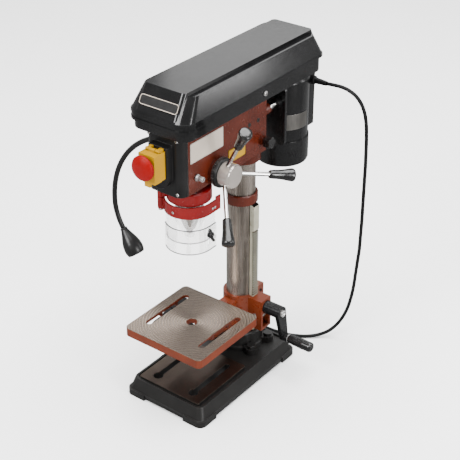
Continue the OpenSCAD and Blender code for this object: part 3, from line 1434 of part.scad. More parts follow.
base();
column_flange();
flange_bolts();
column();
rack_collar();
head_casting();
front_cover();
belt_tray();
lock_knob();
lid_hinge_pins();
v_belt();
switch_body();
lamp_gooseneck();
lamp_head();
spring_housing();
return_spring();
cord_lead();
cord_coil();
cord_tail();
mains_plug();
slide_rods();
motor_plate();
motor_housing();
motor_end_cap();
capacitor_box();
strain_relief();
motor_shaft();
motor_pulley();
belt_lid();
spindle_pulley();
quill();
guard_ring();
guard_hinge_pin();
spindle();
chuck_body();
chuck_sleeve();
chuck_jaw_1();
chuck_jaw_2();
chuck_jaw_3();
pinion_shaft();
feed_hub();
handle_rods();
handle_grips();
depth_collar();
guard_band();
visor_upper();
visor_lower();
wing_nut();
rack();
table_bracket();
lock_lever();
worm_shaft();
crank_arm();
crank_knob();
lift_pinion();
table();
tilt_bolt();
switch_flap();
stop_button();
start_button();
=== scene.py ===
import math

import bmesh
import bpy
from mathutils import Matrix, Vector


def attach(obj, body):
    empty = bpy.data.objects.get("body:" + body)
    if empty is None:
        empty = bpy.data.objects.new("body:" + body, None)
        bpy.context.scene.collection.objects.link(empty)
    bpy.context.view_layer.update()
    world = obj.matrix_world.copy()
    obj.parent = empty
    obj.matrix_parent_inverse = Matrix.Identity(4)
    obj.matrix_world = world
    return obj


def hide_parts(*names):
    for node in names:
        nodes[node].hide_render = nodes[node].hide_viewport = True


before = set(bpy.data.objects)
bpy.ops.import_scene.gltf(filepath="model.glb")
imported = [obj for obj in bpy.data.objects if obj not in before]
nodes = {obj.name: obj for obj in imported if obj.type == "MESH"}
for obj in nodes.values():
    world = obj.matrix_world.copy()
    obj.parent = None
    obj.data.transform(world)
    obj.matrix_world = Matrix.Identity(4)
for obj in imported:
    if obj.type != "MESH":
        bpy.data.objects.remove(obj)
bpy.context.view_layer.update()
MM = 0.001

# Places on the machine that several pieces share, in millimetres
HEAD_SIDE_X = 31.0
SPINDLE_Y = -52.0
FEED_Y, FEED_Z = -25.3, 397.0
COVER_Y = -108.0
MOTOR_Y = 185.0
CRANK_Y = 75.0


# Camera at the photograph's place
def add_camera():
    data = bpy.data.cameras.new("camera")
    data.sensor_width = 36.0
    data.lens = 92.29
    data.clip_end = 50.0
    cam = bpy.data.objects.new("camera", data)
    cam.location = (0.9729, -1.2256, 1.1980)
    look = Vector((-0.523, 0.684, -0.509))
    cam.rotation_euler = look.to_track_quat("-Z", "Y").to_euler()
    bpy.context.scene.collection.objects.link(cam)
    bpy.context.scene.camera = cam


add_camera()


# Shader helpers
def node_of(tree, kind, **sockets):
    n = tree.nodes.new(kind)
    for key, value in sockets.items():
        n.inputs[key.replace("_", " ")].default_value = value
    return n


def rgba(c):
    return (c[0], c[1], c[2], 1.0)


def new_material(name):
    m = bpy.data.materials.new(name)
    m.use_nodes = True
    tree = m.node_tree
    shader = tree.nodes["Principled BSDF"]
    coords = tree.nodes.new("ShaderNodeTexCoord")
    return m, tree, shader, coords.outputs["Object"]


def noise(tree, vector, scale, detail=4.0, rough=0.55):
    n = node_of(tree, "ShaderNodeTexNoise", Scale=scale, Detail=detail, Roughness=rough)
    tree.links.new(vector, n.inputs["Vector"])
    return n.outputs["Fac"]


def span(tree, value, low, high, from_low=0.3, from_high=0.7):
    n = tree.nodes.new("ShaderNodeMapRange")
    n.inputs["From Min"].default_value = from_low
    n.inputs["From Max"].default_value = from_high
    n.inputs["To Min"].default_value = low
    n.inputs["To Max"].default_value = high
    tree.links.new(value, n.inputs["Value"])
    return n.outputs["Result"]


def mix_colour(tree, factor, a, b):
    n = tree.nodes.new("ShaderNodeMix")
    n.data_type = "RGBA"
    for socket, colour in ((n.inputs[6], a), (n.inputs[7], b)):
        if isinstance(colour, tuple):
            socket.default_value = colour
        else:
            tree.links.new(colour, socket)
    tree.links.new(factor, n.inputs[0])
    return n.outputs[2]


def mix_value(tree, factor, a, b):
    n = tree.nodes.new("ShaderNodeMix")
    for socket, value in ((n.inputs[2], a), (n.inputs[3], b)):
        if isinstance(value, float):
            socket.default_value = value
        else:
            tree.links.new(value, socket)
    tree.links.new(factor, n.inputs[0])
    return n.outputs[0]


def bump(tree, shader, height, strength, distance=0.0004):
    n = node_of(tree, "ShaderNodeBump", Strength=strength, Distance=distance)
    tree.links.new(height, n.inputs["Height"])
    tree.links.new(n.outputs["Normal"], shader.inputs["Normal"])


def stretched(tree, vector, scale):
    n = tree.nodes.new("ShaderNodeMapping")
    n.inputs["Scale"].default_value = scale
    tree.links.new(vector, n.inputs["Vector"])
    return n.outputs["Vector"]


def above(tree, vector, level, soft=0.0002):
    split = tree.nodes.new("ShaderNodeSeparateXYZ")
    tree.links.new(vector, split.inputs["Vector"])
    return span(tree, split.outputs["Z"], 0.0, 1.0, level - soft, level + soft)


# Paint or plastic: colour that varies a little, grain in the gloss and a fine surface
def coated(name, colour, rough, vary=0.12, grain=900.0, relief=0.12, scuff=0.1, gloss=0.5):
    m, tree, shader, xyz = new_material(name)
    cloud = noise(tree, xyz, 28.0, 5.0)
    dark = tuple(c * (1.0 - vary) for c in colour)
    light = tuple(min(1.0, c * (1.0 + vary) + 0.002) for c in colour)
    tree.links.new(mix_colour(tree, span(tree, cloud, 0.0, 1.0), rgba(dark), rgba(light)),
                   shader.inputs["Base Color"])
    wear = noise(tree, xyz, 140.0, 6.0, 0.65)
    tree.links.new(span(tree, wear, max(0.03, rough - scuff), rough + scuff), shader.inputs["Roughness"])
    bump(tree, shader, noise(tree, xyz, grain, 2.0), relief)
    shader.inputs["Specular IOR Level"].default_value = gloss
    return m


# Bare metal with lines along one direction
def metal(name, colour, rough, lines=(60.0, 60.0, 2200.0), relief=0.1, vary=0.12, scuff=0.08, bare=1.0):
    m, tree, shader, xyz = new_material(name)
    shader.inputs["Metallic"].default_value = bare
    brushed = noise(tree, stretched(tree, xyz, lines), 1.0, 3.0, 0.6)
    stain = noise(tree, xyz, 34.0, 5.0)
    dark = tuple(c * (1.0 - vary) for c in colour)
    light = tuple(min(1.0, c * (1.0 + vary)) for c in colour)
    tree.links.new(mix_colour(tree, span(tree, stain, 0.0, 1.0), rgba(dark), rgba(light)),
                   shader.inputs["Base Color"])
    tree.links.new(span(tree, brushed, max(0.04, rough - scuff), rough + scuff), shader.inputs["Roughness"])
    bump(tree, shader, brushed, relief, 0.0002)
    return m


# Drawn tube: bright metal with darker runs down its length
def drawn(name, colour, dark, rough):
    m, tree, shader, xyz = new_material(name)
    shader.inputs["Metallic"].default_value = 0.75
    runs = noise(tree, stretched(tree, xyz, (90.0, 90.0, 5.0)), 1.0, 4.0, 0.55)
    spots = noise(tree, xyz, 46.0, 6.0, 0.7)
    both = mix_value(tree, span(tree, spots, 0.0, 0.25), runs, spots)
    tree.links.new(mix_colour(tree, span(tree, both, 0.0, 1.0, 0.36, 0.62), rgba(dark), rgba(colour)),
                   shader.inputs["Base Color"])
    lines = noise(tree, stretched(tree, xyz, (420.0, 420.0, 6.0)), 1.0, 3.0, 0.6)
    tree.links.new(span(tree, lines, rough - 0.02, rough + 0.02), shader.inputs["Roughness"])
    bump(tree, shader, lines, 0.008, 0.0002)
    return m


# Rack: plated faces, with painted shade on the flanks and floors between the teeth: near-black, with no metal
# and almost no gloss
def shaded_rack(name, colour, gap_shade_colour, tip):
    m, tree, shader, xyz = new_material(name)
    coords = tree.nodes.new("ShaderNodeTexCoord")
    face = tree.nodes.new("ShaderNodeSeparateXYZ")
    tree.links.new(coords.outputs["Normal"], face.inputs["Vector"])
    size = tree.nodes.new("ShaderNodeMath")
    size.operation = "ABSOLUTE"
    tree.links.new(face.outputs["Y"], size.inputs[0])
    place = tree.nodes.new("ShaderNodeSeparateXYZ")
    tree.links.new(xyz, place.inputs["Vector"])
    inside = span(tree, place.outputs["X"], 1.0, 0.0, tip - 0.0006, tip - 0.0002)
    # Painted shade: this mask darkens the flanks and floors between the teeth and takes their gloss away
    gullet = mix_value(tree, span(tree, size.outputs[0], 0.0, 1.0, 0.5, 0.7), inside, 0.0)
    tree.links.new(mix_value(tree, gullet, 0.55, 0.0), shader.inputs["Metallic"])
    tree.links.new(mix_value(tree, gullet, 0.5, 0.02), shader.inputs["Specular IOR Level"])
    stain = noise(tree, xyz, 60.0, 5.0)
    clean = mix_colour(tree, span(tree, stain, 0.0, 1.0), rgba(tuple(c * 0.7 for c in colour)), rgba(colour))
    tree.links.new(mix_colour(tree, gullet, clean, rgba(gap_shade_colour)), shader.inputs["Base Color"])
    lines = noise(tree, stretched(tree, xyz, (300.0, 1800.0, 300.0)), 1.0, 3.0)
    tree.links.new(mix_value(tree, gullet, span(tree, lines, 0.26, 0.4), 0.55), shader.inputs["Roughness"])
    bump(tree, shader, lines, 0.1, 0.0002)
    return m


# Casting with paint below a level and a machined face above it. A turned face has rings round its centre,
# and its sheen runs along them
def faced(name, paint, steel, level, centre, turned, paint_rough, relief):
    m, tree, shader, xyz = new_material(name)
    top = above(tree, xyz, level)
    cloud = noise(tree, xyz, 40.0, 5.0)
    painted = mix_colour(tree, span(tree, cloud, 0.0, 1.0), rgba(tuple(c * 0.8 for c in paint)),
                         rgba(tuple(c * 1.2 for c in paint)))
    shift = tree.nodes.new("ShaderNodeMapping")
    shift.inputs["Location"].default_value = (-centre[0], -centre[1], 0.0)
    tree.links.new(xyz, shift.inputs["Vector"])
    local = shift.outputs["Vector"]
    if turned:
        wave = node_of(tree, "ShaderNodeTexWave", Scale=70.0, Distortion=1.4, Detail=2.0)
        wave.inputs["Detail Scale"].default_value = 1.6
        wave.wave_type = "RINGS"
        wave.rings_direction = "Z"
        tree.links.new(local, wave.inputs["Vector"])
        marks = wave.outputs["Fac"]
    else:
        marks = noise(tree, stretched(tree, local, (40.0, 1600.0, 40.0)), 1.0, 3.0)
    blotch = noise(tree, xyz, 20.0, 6.0, 0.6)
    worn = mix_colour(tree, span(tree, blotch, 0.0, 1.0), rgba(tuple(c * 0.72 for c in steel)), rgba(steel))
    depth = 0.8 if turned else 0.1
    groove = rgba(tuple(c * 0.38 for c in steel))
    swirl = mix_colour(tree, span(tree, marks, 0.0, depth, 0.0, 1.0), worn, groove)
    tree.links.new(mix_colour(tree, top, painted, swirl), shader.inputs["Base Color"])
    tree.links.new(top, shader.inputs["Metallic"])
    fine = span(tree, marks, 0.26, 0.38, 0.0, 1.0)
    tree.links.new(mix_value(tree, top, paint_rough, fine), shader.inputs["Roughness"])
    rough_cast = noise(tree, xyz, 420.0, 3.0)
    bump(tree, shader, mix_value(tree, top, rough_cast, marks), relief)
    shader.inputs["Specular IOR Level"].default_value = 0.3
    if turned:
        shader.inputs["Anisotropic"].default_value = 0.85
        across = tree.nodes.new("ShaderNodeVectorMath")
        across.operation = "CROSS_PRODUCT"
        across.inputs[1].default_value = (0.0, 0.0, 1.0)
        tree.links.new(local, across.inputs[0])
        unit = tree.nodes.new("ShaderNodeVectorMath")
        unit.operation = "NORMALIZE"
        tree.links.new(across.outputs[0], unit.inputs[0])
        tree.links.new(unit.outputs[0], shader.inputs["Tangent"])
    return m


# Guard sheet: clear, with a little haze
def clear_sheet(name):
    m, tree, shader, xyz = new_material(name)
    haze = noise(tree, xyz, 60.0, 5.0)
    tree.links.new(span(tree, haze, 0.02, 0.09), shader.inputs["Roughness"])
    tint = mix_colour(tree, span(tree, haze, 0.0, 1.0), (0.86, 0.84, 0.82, 1.0), (0.92, 0.91, 0.9, 1.0))
    tree.links.new(tint, shader.inputs["Base Color"])
    shader.inputs["Transmission Weight"].default_value = 1.0
    shader.inputs["IOR"].default_value = 1.38
    shader.inputs["Alpha"].default_value = 0.34
    bump(tree, shader, noise(tree, xyz, 90.0, 2.0), 0.03)
    return m


# Lamp front: pebbled glass
def lamp_glass(name):
    m, tree, shader, xyz = new_material(name)
    cells = node_of(tree, "ShaderNodeTexVoronoi", Scale=420.0)
    tree.links.new(xyz, cells.inputs["Vector"])
    tint = mix_colour(tree, cells.outputs["Distance"], (0.75, 0.77, 0.8, 1.0), (0.3, 0.31, 0.33, 1.0))
    tree.links.new(tint, shader.inputs["Base Color"])
    tree.links.new(span(tree, cells.outputs["Distance"], 0.08, 0.3, 0.0, 1.0), shader.inputs["Roughness"])
    bump(tree, shader, cells.outputs["Distance"], 0.3)
    return m


# Colours shared by more than one material
OXIDE = (0.05, 0.0066, 0.002)
BRACKET = (0.095, 0.0155, 0.004)
JET = (0.003, 0.003, 0.0032)
CAST = (0.006, 0.0056, 0.0052)
M = {
    "lid": coated("black_enamel", JET, 0.14, grain=1300.0, relief=0.01, scuff=0.03, gloss=0.3),
    "black": coated("black_paint", JET, 0.24, grain=900.0, relief=0.015, scuff=0.04, gloss=0.35),
    "cast": coated("black_casting", CAST, 0.4, grain=420.0, relief=0.2, gloss=0.4),
    "oxide": coated("oxide_enamel", OXIDE, 0.24, vary=0.22, grain=300.0, relief=0.03, scuff=0.05, gloss=0.3),
    "bracket": coated("casting_enamel", BRACKET, 0.3, vary=0.25, grain=260.0, relief=0.08, scuff=0.06,
                      gloss=0.3),
    "plastic": coated("black_plastic", (0.004, 0.0038, 0.0038), 0.32, grain=1600.0, relief=0.05, scuff=0.05,
                      gloss=0.3),
    "grip": coated("grip_plastic", (0.0035, 0.0033, 0.0033), 0.22, grain=700.0, relief=0.05, gloss=0.5),
    "yellow": coated("yellow_plastic", (0.29, 0.15, 0.0), 0.4, vary=0.1, grain=1500.0, relief=0.08,
                     gloss=0.08),
    "red": coated("red_plastic", (0.16, 0.001, 0.001), 0.36, vary=0.1, grain=1400.0, relief=0.05, gloss=0.08),
    "guard": coated("red_enamel", (0.12, 0.001, 0.001), 0.24, vary=0.15, grain=420.0, relief=0.025,
                    scuff=0.05, gloss=0.35),
    "green": coated("green_plastic", (0.008, 0.1, 0.02), 0.35, vary=0.1, gloss=0.12),
    "rubber": coated("cord_rubber", (0.004, 0.004, 0.0042), 0.5, grain=1800.0, relief=0.2, gloss=0.1),
    "belt": coated("belt_rubber", (0.006, 0.006, 0.006), 0.75, grain=2400.0, relief=0.4, gloss=0.1),
    "white": coated("plate_white", (0.36, 0.31, 0.26), 0.42, vary=0.08, gloss=0.1),
    "gold": coated("plate_yellow", (0.29, 0.155, 0.0), 0.42, vary=0.08, gloss=0.1),
    # Painted shade: dark strips laid along the edges of the clear guard sheets
    "rim": coated("sheet_edge", (0.03, 0.03, 0.031), 0.25, vary=0.2, gloss=0.15),
    "steel": metal("ground_steel", (0.34, 0.325, 0.31), 0.26, bare=0.75),
    "column": drawn("column_steel", (0.3, 0.262, 0.23), dark=(0.1, 0.083, 0.068), rough=0.27),
    "chrome": metal("bright_plate", (0.62, 0.61, 0.6), 0.09, relief=0.03, vary=0.05, scuff=0.04),
    "zinc": shaded_rack("zinc_plate", (0.5, 0.475, 0.37), gap_shade_colour=(0.002, 0.0018, 0.0015), tip=0.031),
    "hub": metal("hub_plate", (0.38, 0.345, 0.315), 0.17, lines=(2200.0, 60.0, 60.0), vary=0.1, bare=0.65),
    "alloy": metal("turned_alloy", (0.36, 0.36, 0.36), 0.28, lines=(60.0, 60.0, 2600.0)),
    "silver": metal("plate_silver", (0.42, 0.41, 0.4), 0.26, vary=0.1, bare=0.75),
    "rating": metal("rating_plate", (0.18, 0.172, 0.16), 0.36, lines=(900.0, 900.0, 60.0), vary=0.15),
    "table": faced("table_iron", BRACKET, (0.31, 0.25, 0.205), level=0.1292, centre=(0.0, -0.052),
                   turned=True, paint_rough=0.36, relief=0.3),
    "base": faced("base_iron", CAST, (0.1, 0.078, 0.065), level=0.0332, centre=(0.0, -0.3), turned=False,
                  paint_rough=0.42, relief=0.14),
    "clear": clear_sheet("clear_sheet"),
    "lens": lamp_glass("lamp_glass"),
}

# Material of each node
LOOK = {
    "base": "base", "column_flange": "cast", "flange_bolts": "cast", "column": "column",
    "rack_collar": "oxide", "head_casting": "oxide", "front_cover": "plastic", "belt_tray": "black",
    "lid_hinge_pins": "steel", "v_belt": "belt", "switch_body": "yellow", "lamp_gooseneck": "plastic",
    "lamp_head": "plastic", "spring_housing": "plastic", "return_spring": "steel", "mains_plug": "rubber",
    "cord_lead": "rubber", "cord_coil": "rubber", "cord_tail": "rubber",
    "slide_rods": "chrome", "motor_plate": "black", "motor_housing": "black", "motor_end_cap": "black",
    "capacitor_box": "black", "strain_relief": "rubber", "motor_shaft": "steel", "motor_pulley": "alloy",
    "belt_lid": "lid", "spindle_pulley": "alloy", "quill": "steel", "guard_ring": "guard",
    "guard_hinge_pin": "steel", "spindle": "steel", "chuck_body": "steel", "chuck_sleeve": "steel",
    "chuck_jaw_1": "steel", "chuck_jaw_2": "steel", "chuck_jaw_3": "steel", "pinion_shaft": "steel",
    "feed_hub": "hub", "handle_rods": "chrome", "handle_grips": "grip", "depth_collar": "plastic",
    "guard_band": "guard", "visor_upper": "clear", "visor_lower": "clear", "wing_nut": "plastic",
    "rack": "zinc", "table_bracket": "bracket", "lock_lever": "black", "worm_shaft": "steel",
    "crank_arm": "black", "crank_knob": "grip", "lift_pinion": "steel", "table": "table",
    "tilt_bolt": "steel", "lock_knob": "grip", "switch_flap": "yellow", "stop_button": "red",
    "start_button": "green",
}

# Rounded edges on the nodes, in millimetres: castings are softer than turned parts
EDGE = {
    "base": 1.6, "column_flange": 1.4, "head_casting": 2.2, "front_cover": 1.2, "belt_tray": 0.6,
    "belt_lid": 0.9, "switch_flap": 1.0, "switch_body": 0.5, "motor_plate": 0.8, "capacitor_box": 1.6,
    "motor_housing": 0.8, "table": 0.8, "table_bracket": 1.6, "guard_ring": 0.5, "guard_band": 0.5,
    "crank_arm": 1.0, "lock_knob": 0.6, "rack": 0.15, "feed_hub": 0.5, "mains_plug": 1.0, "flange_bolts": 0.5,
    "tilt_bolt": 0.5, "wing_nut": 0.4, "lock_lever": 0.5, "stop_button": 0.4,
}
BEVEL_ANGLE = math.radians(38)


def dress(name, obj):
    obj.data.materials.clear()
    obj.data.materials.append(M[LOOK[name]])
    obj.data.polygons.foreach_set("use_smooth", [True] * len(obj.data.polygons))
    weld = obj.modifiers.new("weld", "WELD")
    weld.merge_threshold = 0.000002
    if name in EDGE:
        flat = obj.modifiers.new("flat", "DECIMATE")
        flat.decimate_type = "DISSOLVE"
        flat.angle_limit = math.radians(0.4)
        edge = obj.modifiers.new("edge", "BEVEL")
        edge.width = EDGE[name] * MM
        edge.segments = 2
        edge.limit_method = "ANGLE"
        edge.angle_limit = BEVEL_ANGLE
        edge.use_clamp_overlap = True
    normals = obj.modifiers.new("normals", "WEIGHTED_NORMAL")
    normals.weight = 80
    normals.keep_sharp = True


for node_name, node_obj in nodes.items():
    dress(node_name, node_obj)


# Mesh pieces
def piece(name, bm, material, body, bevel=0.0, smooth=True):
    mesh = bpy.data.meshes.new(name)
    bmesh.ops.recalc_face_normals(bm, faces=bm.faces)
    bm.to_mesh(mesh)
    bm.free()
    mesh.materials.append(M[material])
    mesh.polygons.foreach_set("use_smooth", [smooth] * len(mesh.polygons))
    obj = bpy.data.objects.new(name, mesh)
    bpy.context.scene.collection.objects.link(obj)
    if bevel:
        mod = obj.modifiers.new("edge", "BEVEL")
        mod.width = bevel * MM
        mod.segments = 2
        mod.limit_method = "ANGLE"
        mod.angle_limit = BEVEL_ANGLE
    if smooth:
        mod = obj.modifiers.new("normals", "WEIGHTED_NORMAL")
        mod.keep_sharp = True
    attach(obj, body)
    return obj


def facing(origin, direction, spin=0.0):
    turn = Vector(direction).to_track_quat("Z", "Y").to_matrix().to_4x4()
    return Matrix.Translation(Vector(origin) * MM) @ turn @ Matrix.Rotation(math.radians(spin), 4, "Z")


def revolve(bm, profile, place, sides=32):
    rings = []
    for r, z in profile:
        ring = []
        for k in range(sides):
            a = 2 * math.pi * k / sides
            ring.append(bm.verts.new(place @ Vector((r * math.cos(a) * MM, r * math.sin(a) * MM, z * MM))))
        rings.append(ring)
    for low, high in zip(rings, rings[1:]):
        for k in range(sides):
            bm.faces.new((low[k], low[(k + 1) % sides], high[(k + 1) % sides], high[k]))
    bm.faces.new(rings[0][::-1])
    bm.faces.new(rings[-1])


def brick(bm, size, place):
    out = bmesh.ops.create_cube(bm, size=1.0)["verts"]
    for v in out:
        v.co = place @ Vector((v.co.x * size[0] * MM, v.co.y * size[1] * MM, v.co.z * size[2] * MM))


# Cross-head screw: a domed head with a dark cross laid on its top, painted shade standing in for a sunk cross
def screw(name, origin, direction, r, body):
    bm = bmesh.new()
    place = facing(origin, direction, 20.0)
    dome = [(r, -0.3), (r, 0.25 * r), (0.86 * r, 0.48 * r), (0.55 * r, 0.6 * r), (0.5 * r, 0.6 * r)]
    revolve(bm, dome, place, 24)
    piece(name, bm, "silver", body)
    # Painted shade: a black cross where the sunk recess would lie in shade
    bm = bmesh.new()
    for a in (0.0, 90.0):
        brick(bm, (1.0 * r, 0.24 * r, 0.1), place @ Matrix.Rotation(math.radians(a), 4, "Z")
              @ Matrix.Translation((0, 0, 0.62 * r * MM)))
    piece(name + "_cross", bm, "plastic", body)


# Socket set screw: a ring with a dark hexagon on its top, painted shade standing in for a hexagon well
def set_screw(name, origin, direction, r, body):
    bm = bmesh.new()
    place = facing(origin, direction)
    revolve(bm, [(r, -0.2), (r, 0.25), (0.85 * r, 0.4)], place, 24)
    piece(name, bm, "cast", body)
    # Painted shade: a flat black hexagon where the socket would lie in shade
    bm = bmesh.new()
    revolve(bm, [(0.5 * r, 0.38), (0.5 * r, 0.45)], place, 6)
    piece(name + "_well", bm, "plastic", body, smooth=False)


# Outline of a rectangle with round corners
def rounded(w, h, r):
    out = []
    for cx, cy, a0 in ((w / 2 - r, h / 2 - r, 0), (r - w / 2, h / 2 - r, 90), (r - w / 2, r - h / 2, 180),
                       (w / 2 - r, r - h / 2, 270)):
        for k in range(9):
            a = math.radians(a0 + 11.25 * k)
            out.append((cx + r * math.cos(a), cy + r * math.sin(a)))
    return out


def band(bm, loops, place):
    rows = [[bm.verts.new(place @ (Vector((x, y, z)) * MM)) for x, y in loop] for loop, z in loops]
    count = len(rows[0])
    for a, b in zip(rows, rows[1:]):
        for k in range(count):
            bm.faces.new((a[k], a[(k + 1) % count], b[(k + 1) % count], b[k]))
    return rows


# Bare plate: a thin sheet with rounded corners and a raised border
def plate(name, place, w, h, r, t, border, face, edge, body):
    bm = bmesh.new()
    rows = band(bm, [(rounded(w, h, r), 0.0), (rounded(w, h, r), t - 0.1),
                     (rounded(w - 0.2, h - 0.2, r - 0.1), t)], place)
    bm.faces.new(rows[0][::-1])
    bm.faces.new(rows[-1])
    piece(name, bm, face, body)
    bm = bmesh.new()
    outer = rounded(w - 0.6, h - 0.6, r - 0.3)
    inner = rounded(w - 0.6 - 2 * border, h - 0.6 - 2 * border, r - 0.3 - border)
    band(bm, [(inner, t - 0.05), (inner, t + 0.15), (outer, t + 0.15), (outer, t - 0.05)], place)
    piece(name + "_border", bm, edge, body, smooth=False)


# Skin over rows of points, closed at both ends
def skin(bm, rows):
    count = len(rows[0])
    for a, b in zip(rows, rows[1:]):
        for k in range(count):
            bm.faces.new((a[k], b[k], b[(k + 1) % count], a[(k + 1) % count]))
    bm.faces.new(rows[0])
    bm.faces.new(rows[-1][::-1])


# Tube through points, square at its ends
def tube_mesh(points, radius, sides):
    bm = bmesh.new()
    ref = Vector((0.6, -0.5, 0.62))
    rings = []
    for i, p in enumerate(points):
        t = (points[min(i + 1, len(points) - 1)] - points[max(i - 1, 0)]).normalized()
        n = t.cross(ref).normalized()
        b = t.cross(n)
        rings.append([bm.verts.new(p + radius * (math.cos(2 * math.pi * k / sides) * n
                                                 + math.sin(2 * math.pi * k / sides) * b))
                      for k in range(sides)])
    skin(bm, rings)
    return bm


# A smooth line through given points
def through(points, step):
    out = []
    for i in range(len(points) - 1):
        p0 = points[max(i - 1, 0)]
        p1, p2 = points[i], points[i + 1]
        p3 = points[min(i + 2, len(points) - 1)]
        count = max(1, round((p2 - p1).length / step))
        for k in range(count):
            u = k / count
            out.append(0.5 * (2 * p1 + (p2 - p0) * u + (2 * p0 - 5 * p1 + 4 * p2 - p3) * u ** 2
                              + (3 * p1 - p0 - 3 * p2 + p3) * u ** 3))
    out.append(points[-1])
    return out


# Mains lead: free run, coil, tail
CORD_R = 3.0
COIL = Vector((-122.0, 45.0, 0.0))
COIL_R, COIL_PITCH, COIL_TURNS, LEAD_Z = 38.25, 6.6, 2.5, 3.05
LEAD = [
    (51.5, 231, 451), (64, 231, 452), (78, 232, 452), (92, 233, 449), (105, 234, 442), (115, 235, 430),
    (121, 236, 415), (124, 237, 397), (125, 238, 377), (126, 238, 352), (126, 239, 326), (126, 239, 300),
    (126, 239, 274), (126, 239, 248), (126, 239, 222), (126, 238, 196), (126, 237, 170), (125, 235, 146),
    (124, 233, 122), (123, 231, 98), (121, 228, 76), (118, 224, 56), (113, 218, 38), (106, 210, 23),
    (97, 200, 12), (86, 189, 6), (74, 178, 3.6), (60, 168, LEAD_Z), (43, 160, LEAD_Z), (24, 155, LEAD_Z),
    (4, 153, LEAD_Z), (-18, 152, LEAD_Z), (-40, 152, LEAD_Z), (-56, 151, LEAD_Z), (-69, 147, LEAD_Z),
    (-79, 138, LEAD_Z), (-83.75, 124, LEAD_Z), (-83.75, 104, LEAD_Z), (-83.75, 76, LEAD_Z),
    (-83.75, 51, LEAD_Z), (-83.75, 45.5, LEAD_Z)]
TAIL = [(-160.25, y, LEAD_Z + COIL_PITCH) for y in (45.5, 51, 59)]
CORD_STEP = 4.0


def coil_point(t):
    if t <= COIL_TURNS:
        r = COIL_R - COIL_PITCH * t
    elif t <= COIL_TURNS + 0.5:
        r = COIL_R - COIL_PITCH * (COIL_TURNS + 0.25 * math.sin(math.radians((t - COIL_TURNS) * 360)))
    else:
        r = COIL_R - COIL_PITCH * (2 * COIL_TURNS + 0.5 - t)
    u = min(max((t - COIL_TURNS) * 2, 0), 1)
    z = LEAD_Z + COIL_PITCH * u * u * (3 - 2 * u)
    a = 2 * math.pi * t
    return COIL + Vector((r * math.cos(a), -r * math.sin(a), z))


def build_cord():
    lead = through([Vector(p) for p in LEAD], CORD_STEP)
    total = 2 * COIL_TURNS + 0.5
    steps = round(total * 60)
    coil = [coil_point(total * i / steps) for i in range(steps + 1)]
    tail = through([Vector(p) for p in TAIL], CORD_STEP)
    line = [p * MM for p in lead[:-1] + coil[:-1] + tail]
    bm = tube_mesh(line, CORD_R * MM, 14)
    cord = piece("mains_lead", bm, "rubber", "stand")
    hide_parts("cord_lead", "cord_coil", "cord_tail")


build_cord()


# Tie round the coil
def coil_tie():
    bm = bmesh.new()
    inner, outer, low, high = 17.4, 42.2, 0.1, 13.6
    corner, wall, half = 3, 0.7, 2.5
    section = []
    for cx, cz, a0 in ((outer - corner, high - corner, 0), (inner + corner, high - corner, 90),
                       (inner + corner, low + corner, 180), (outer - corner, low + corner, 270)):
        for k in range(7):
            a = math.radians(a0 + 15 * k)
            section.append((cx + corner * math.cos(a), cz + corner * math.sin(a)))
    mid_x, mid_z = (inner + outer) / 2, (low + high) / 2
    thin = [(x + (wall if x < mid_x else -wall), z + (wall if z < mid_z else -wall)) for x, z in section]
    loops = []
    for y, pts in ((-half, section), (half, section), (half, thin), (-half, thin)):
        loops.append([bm.verts.new((COIL + Vector((x, y, z))) * MM) for x, z in pts])
    count = len(section)
    for i in range(4):
        a, b = loops[i], loops[(i + 1) % 4]
        for k in range(count):
            bm.faces.new((a[k], a[(k + 1) % count], b[(k + 1) % count], b[k]))
    piece("cord_tie", bm, "plastic", "stand")


coil_tie()


# Sheathed gooseneck in place of the plain tube
def gooseneck():
    lean, bend_r, bend_end, hook_r, hook_end, ferrule = 24.0, 136.0, 91.0, 84.0, 124.0, 9.0
    y, z, half, neck_r = -85.0, 455.0, HEAD_SIDE_X, 4.0
    s, c = (lambda a: math.sin(math.radians(a))), (lambda a: math.cos(math.radians(a)))
    p1 = (-half - ferrule * c(lean), z - ferrule * s(lean))
    c1 = (p1[0] + bend_r * s(lean), p1[1] - bend_r * c(lean))
    p2 = (c1[0] - bend_r * s(bend_end), c1[1] + bend_r * c(bend_end))
    c2 = (p2[0] + hook_r * s(bend_end), p2[1] - hook_r * c(bend_end))
    line = []
    for (cx, cz), r, a0, a1 in ((c1, bend_r, lean, bend_end), (c2, hook_r, bend_end, hook_end)):
        count = round(math.radians(a1 - a0) * r / 2.0)
        for i in range(count + (r == hook_r)):
            a = a0 + (a1 - a0) * i / count
            line.append(Vector((cx - r * s(a), y, cz + r * c(a))) * MM)
    bm = tube_mesh(line, neck_r * MM, 24)
    revolve(bm, [(5.9, 0.2), (6.0, 1.0), (6.0, ferrule - 1.5), (5.0, ferrule), (4.0, ferrule + 0.3)],
            facing((-half, y, z), (-c(lean), 0, -s(lean))), 32)
    neck = piece("lamp_neck", bm, "plastic", "stand")
    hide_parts("lamp_gooseneck")
    tip = Vector((c2[0] - hook_r * s(hook_end), y, c2[1] + hook_r * c(hook_end)))
    out = Vector((-c(hook_end), 0, -s(hook_end)))
    bm = bmesh.new()
    revolve(bm, [(10.7, 41.3), (10.7, 42.3), (8.0, 43.2), (4.0, 43.8), (0.5, 44.0)], facing(tip, out), 40)
    piece("lamp_lens", bm, "lens", "stand")
    bm = bmesh.new()
    revolve(bm, [(5.2, 0.6), (5.9, 0.9), (5.9, 1.9), (5.4, 2.2)], facing(tip, out), 40)
    piece("lamp_ring", bm, "plastic", "stand")


gooseneck()


# Bare plates where the real one carries labels. The first lies on the slope at the front of the lid
def slope(z):
    return -121.7 + 20.6 * (z - 511.0) / 35.0


badge = facing((0.0, slope(526.0) - 0.05, 526.0), (0, -0.862, 0.507))
plate("lid_plate", badge, 69.0, 15.0, 4.5, 0.7, 1.0, "plastic", "white", "lid")


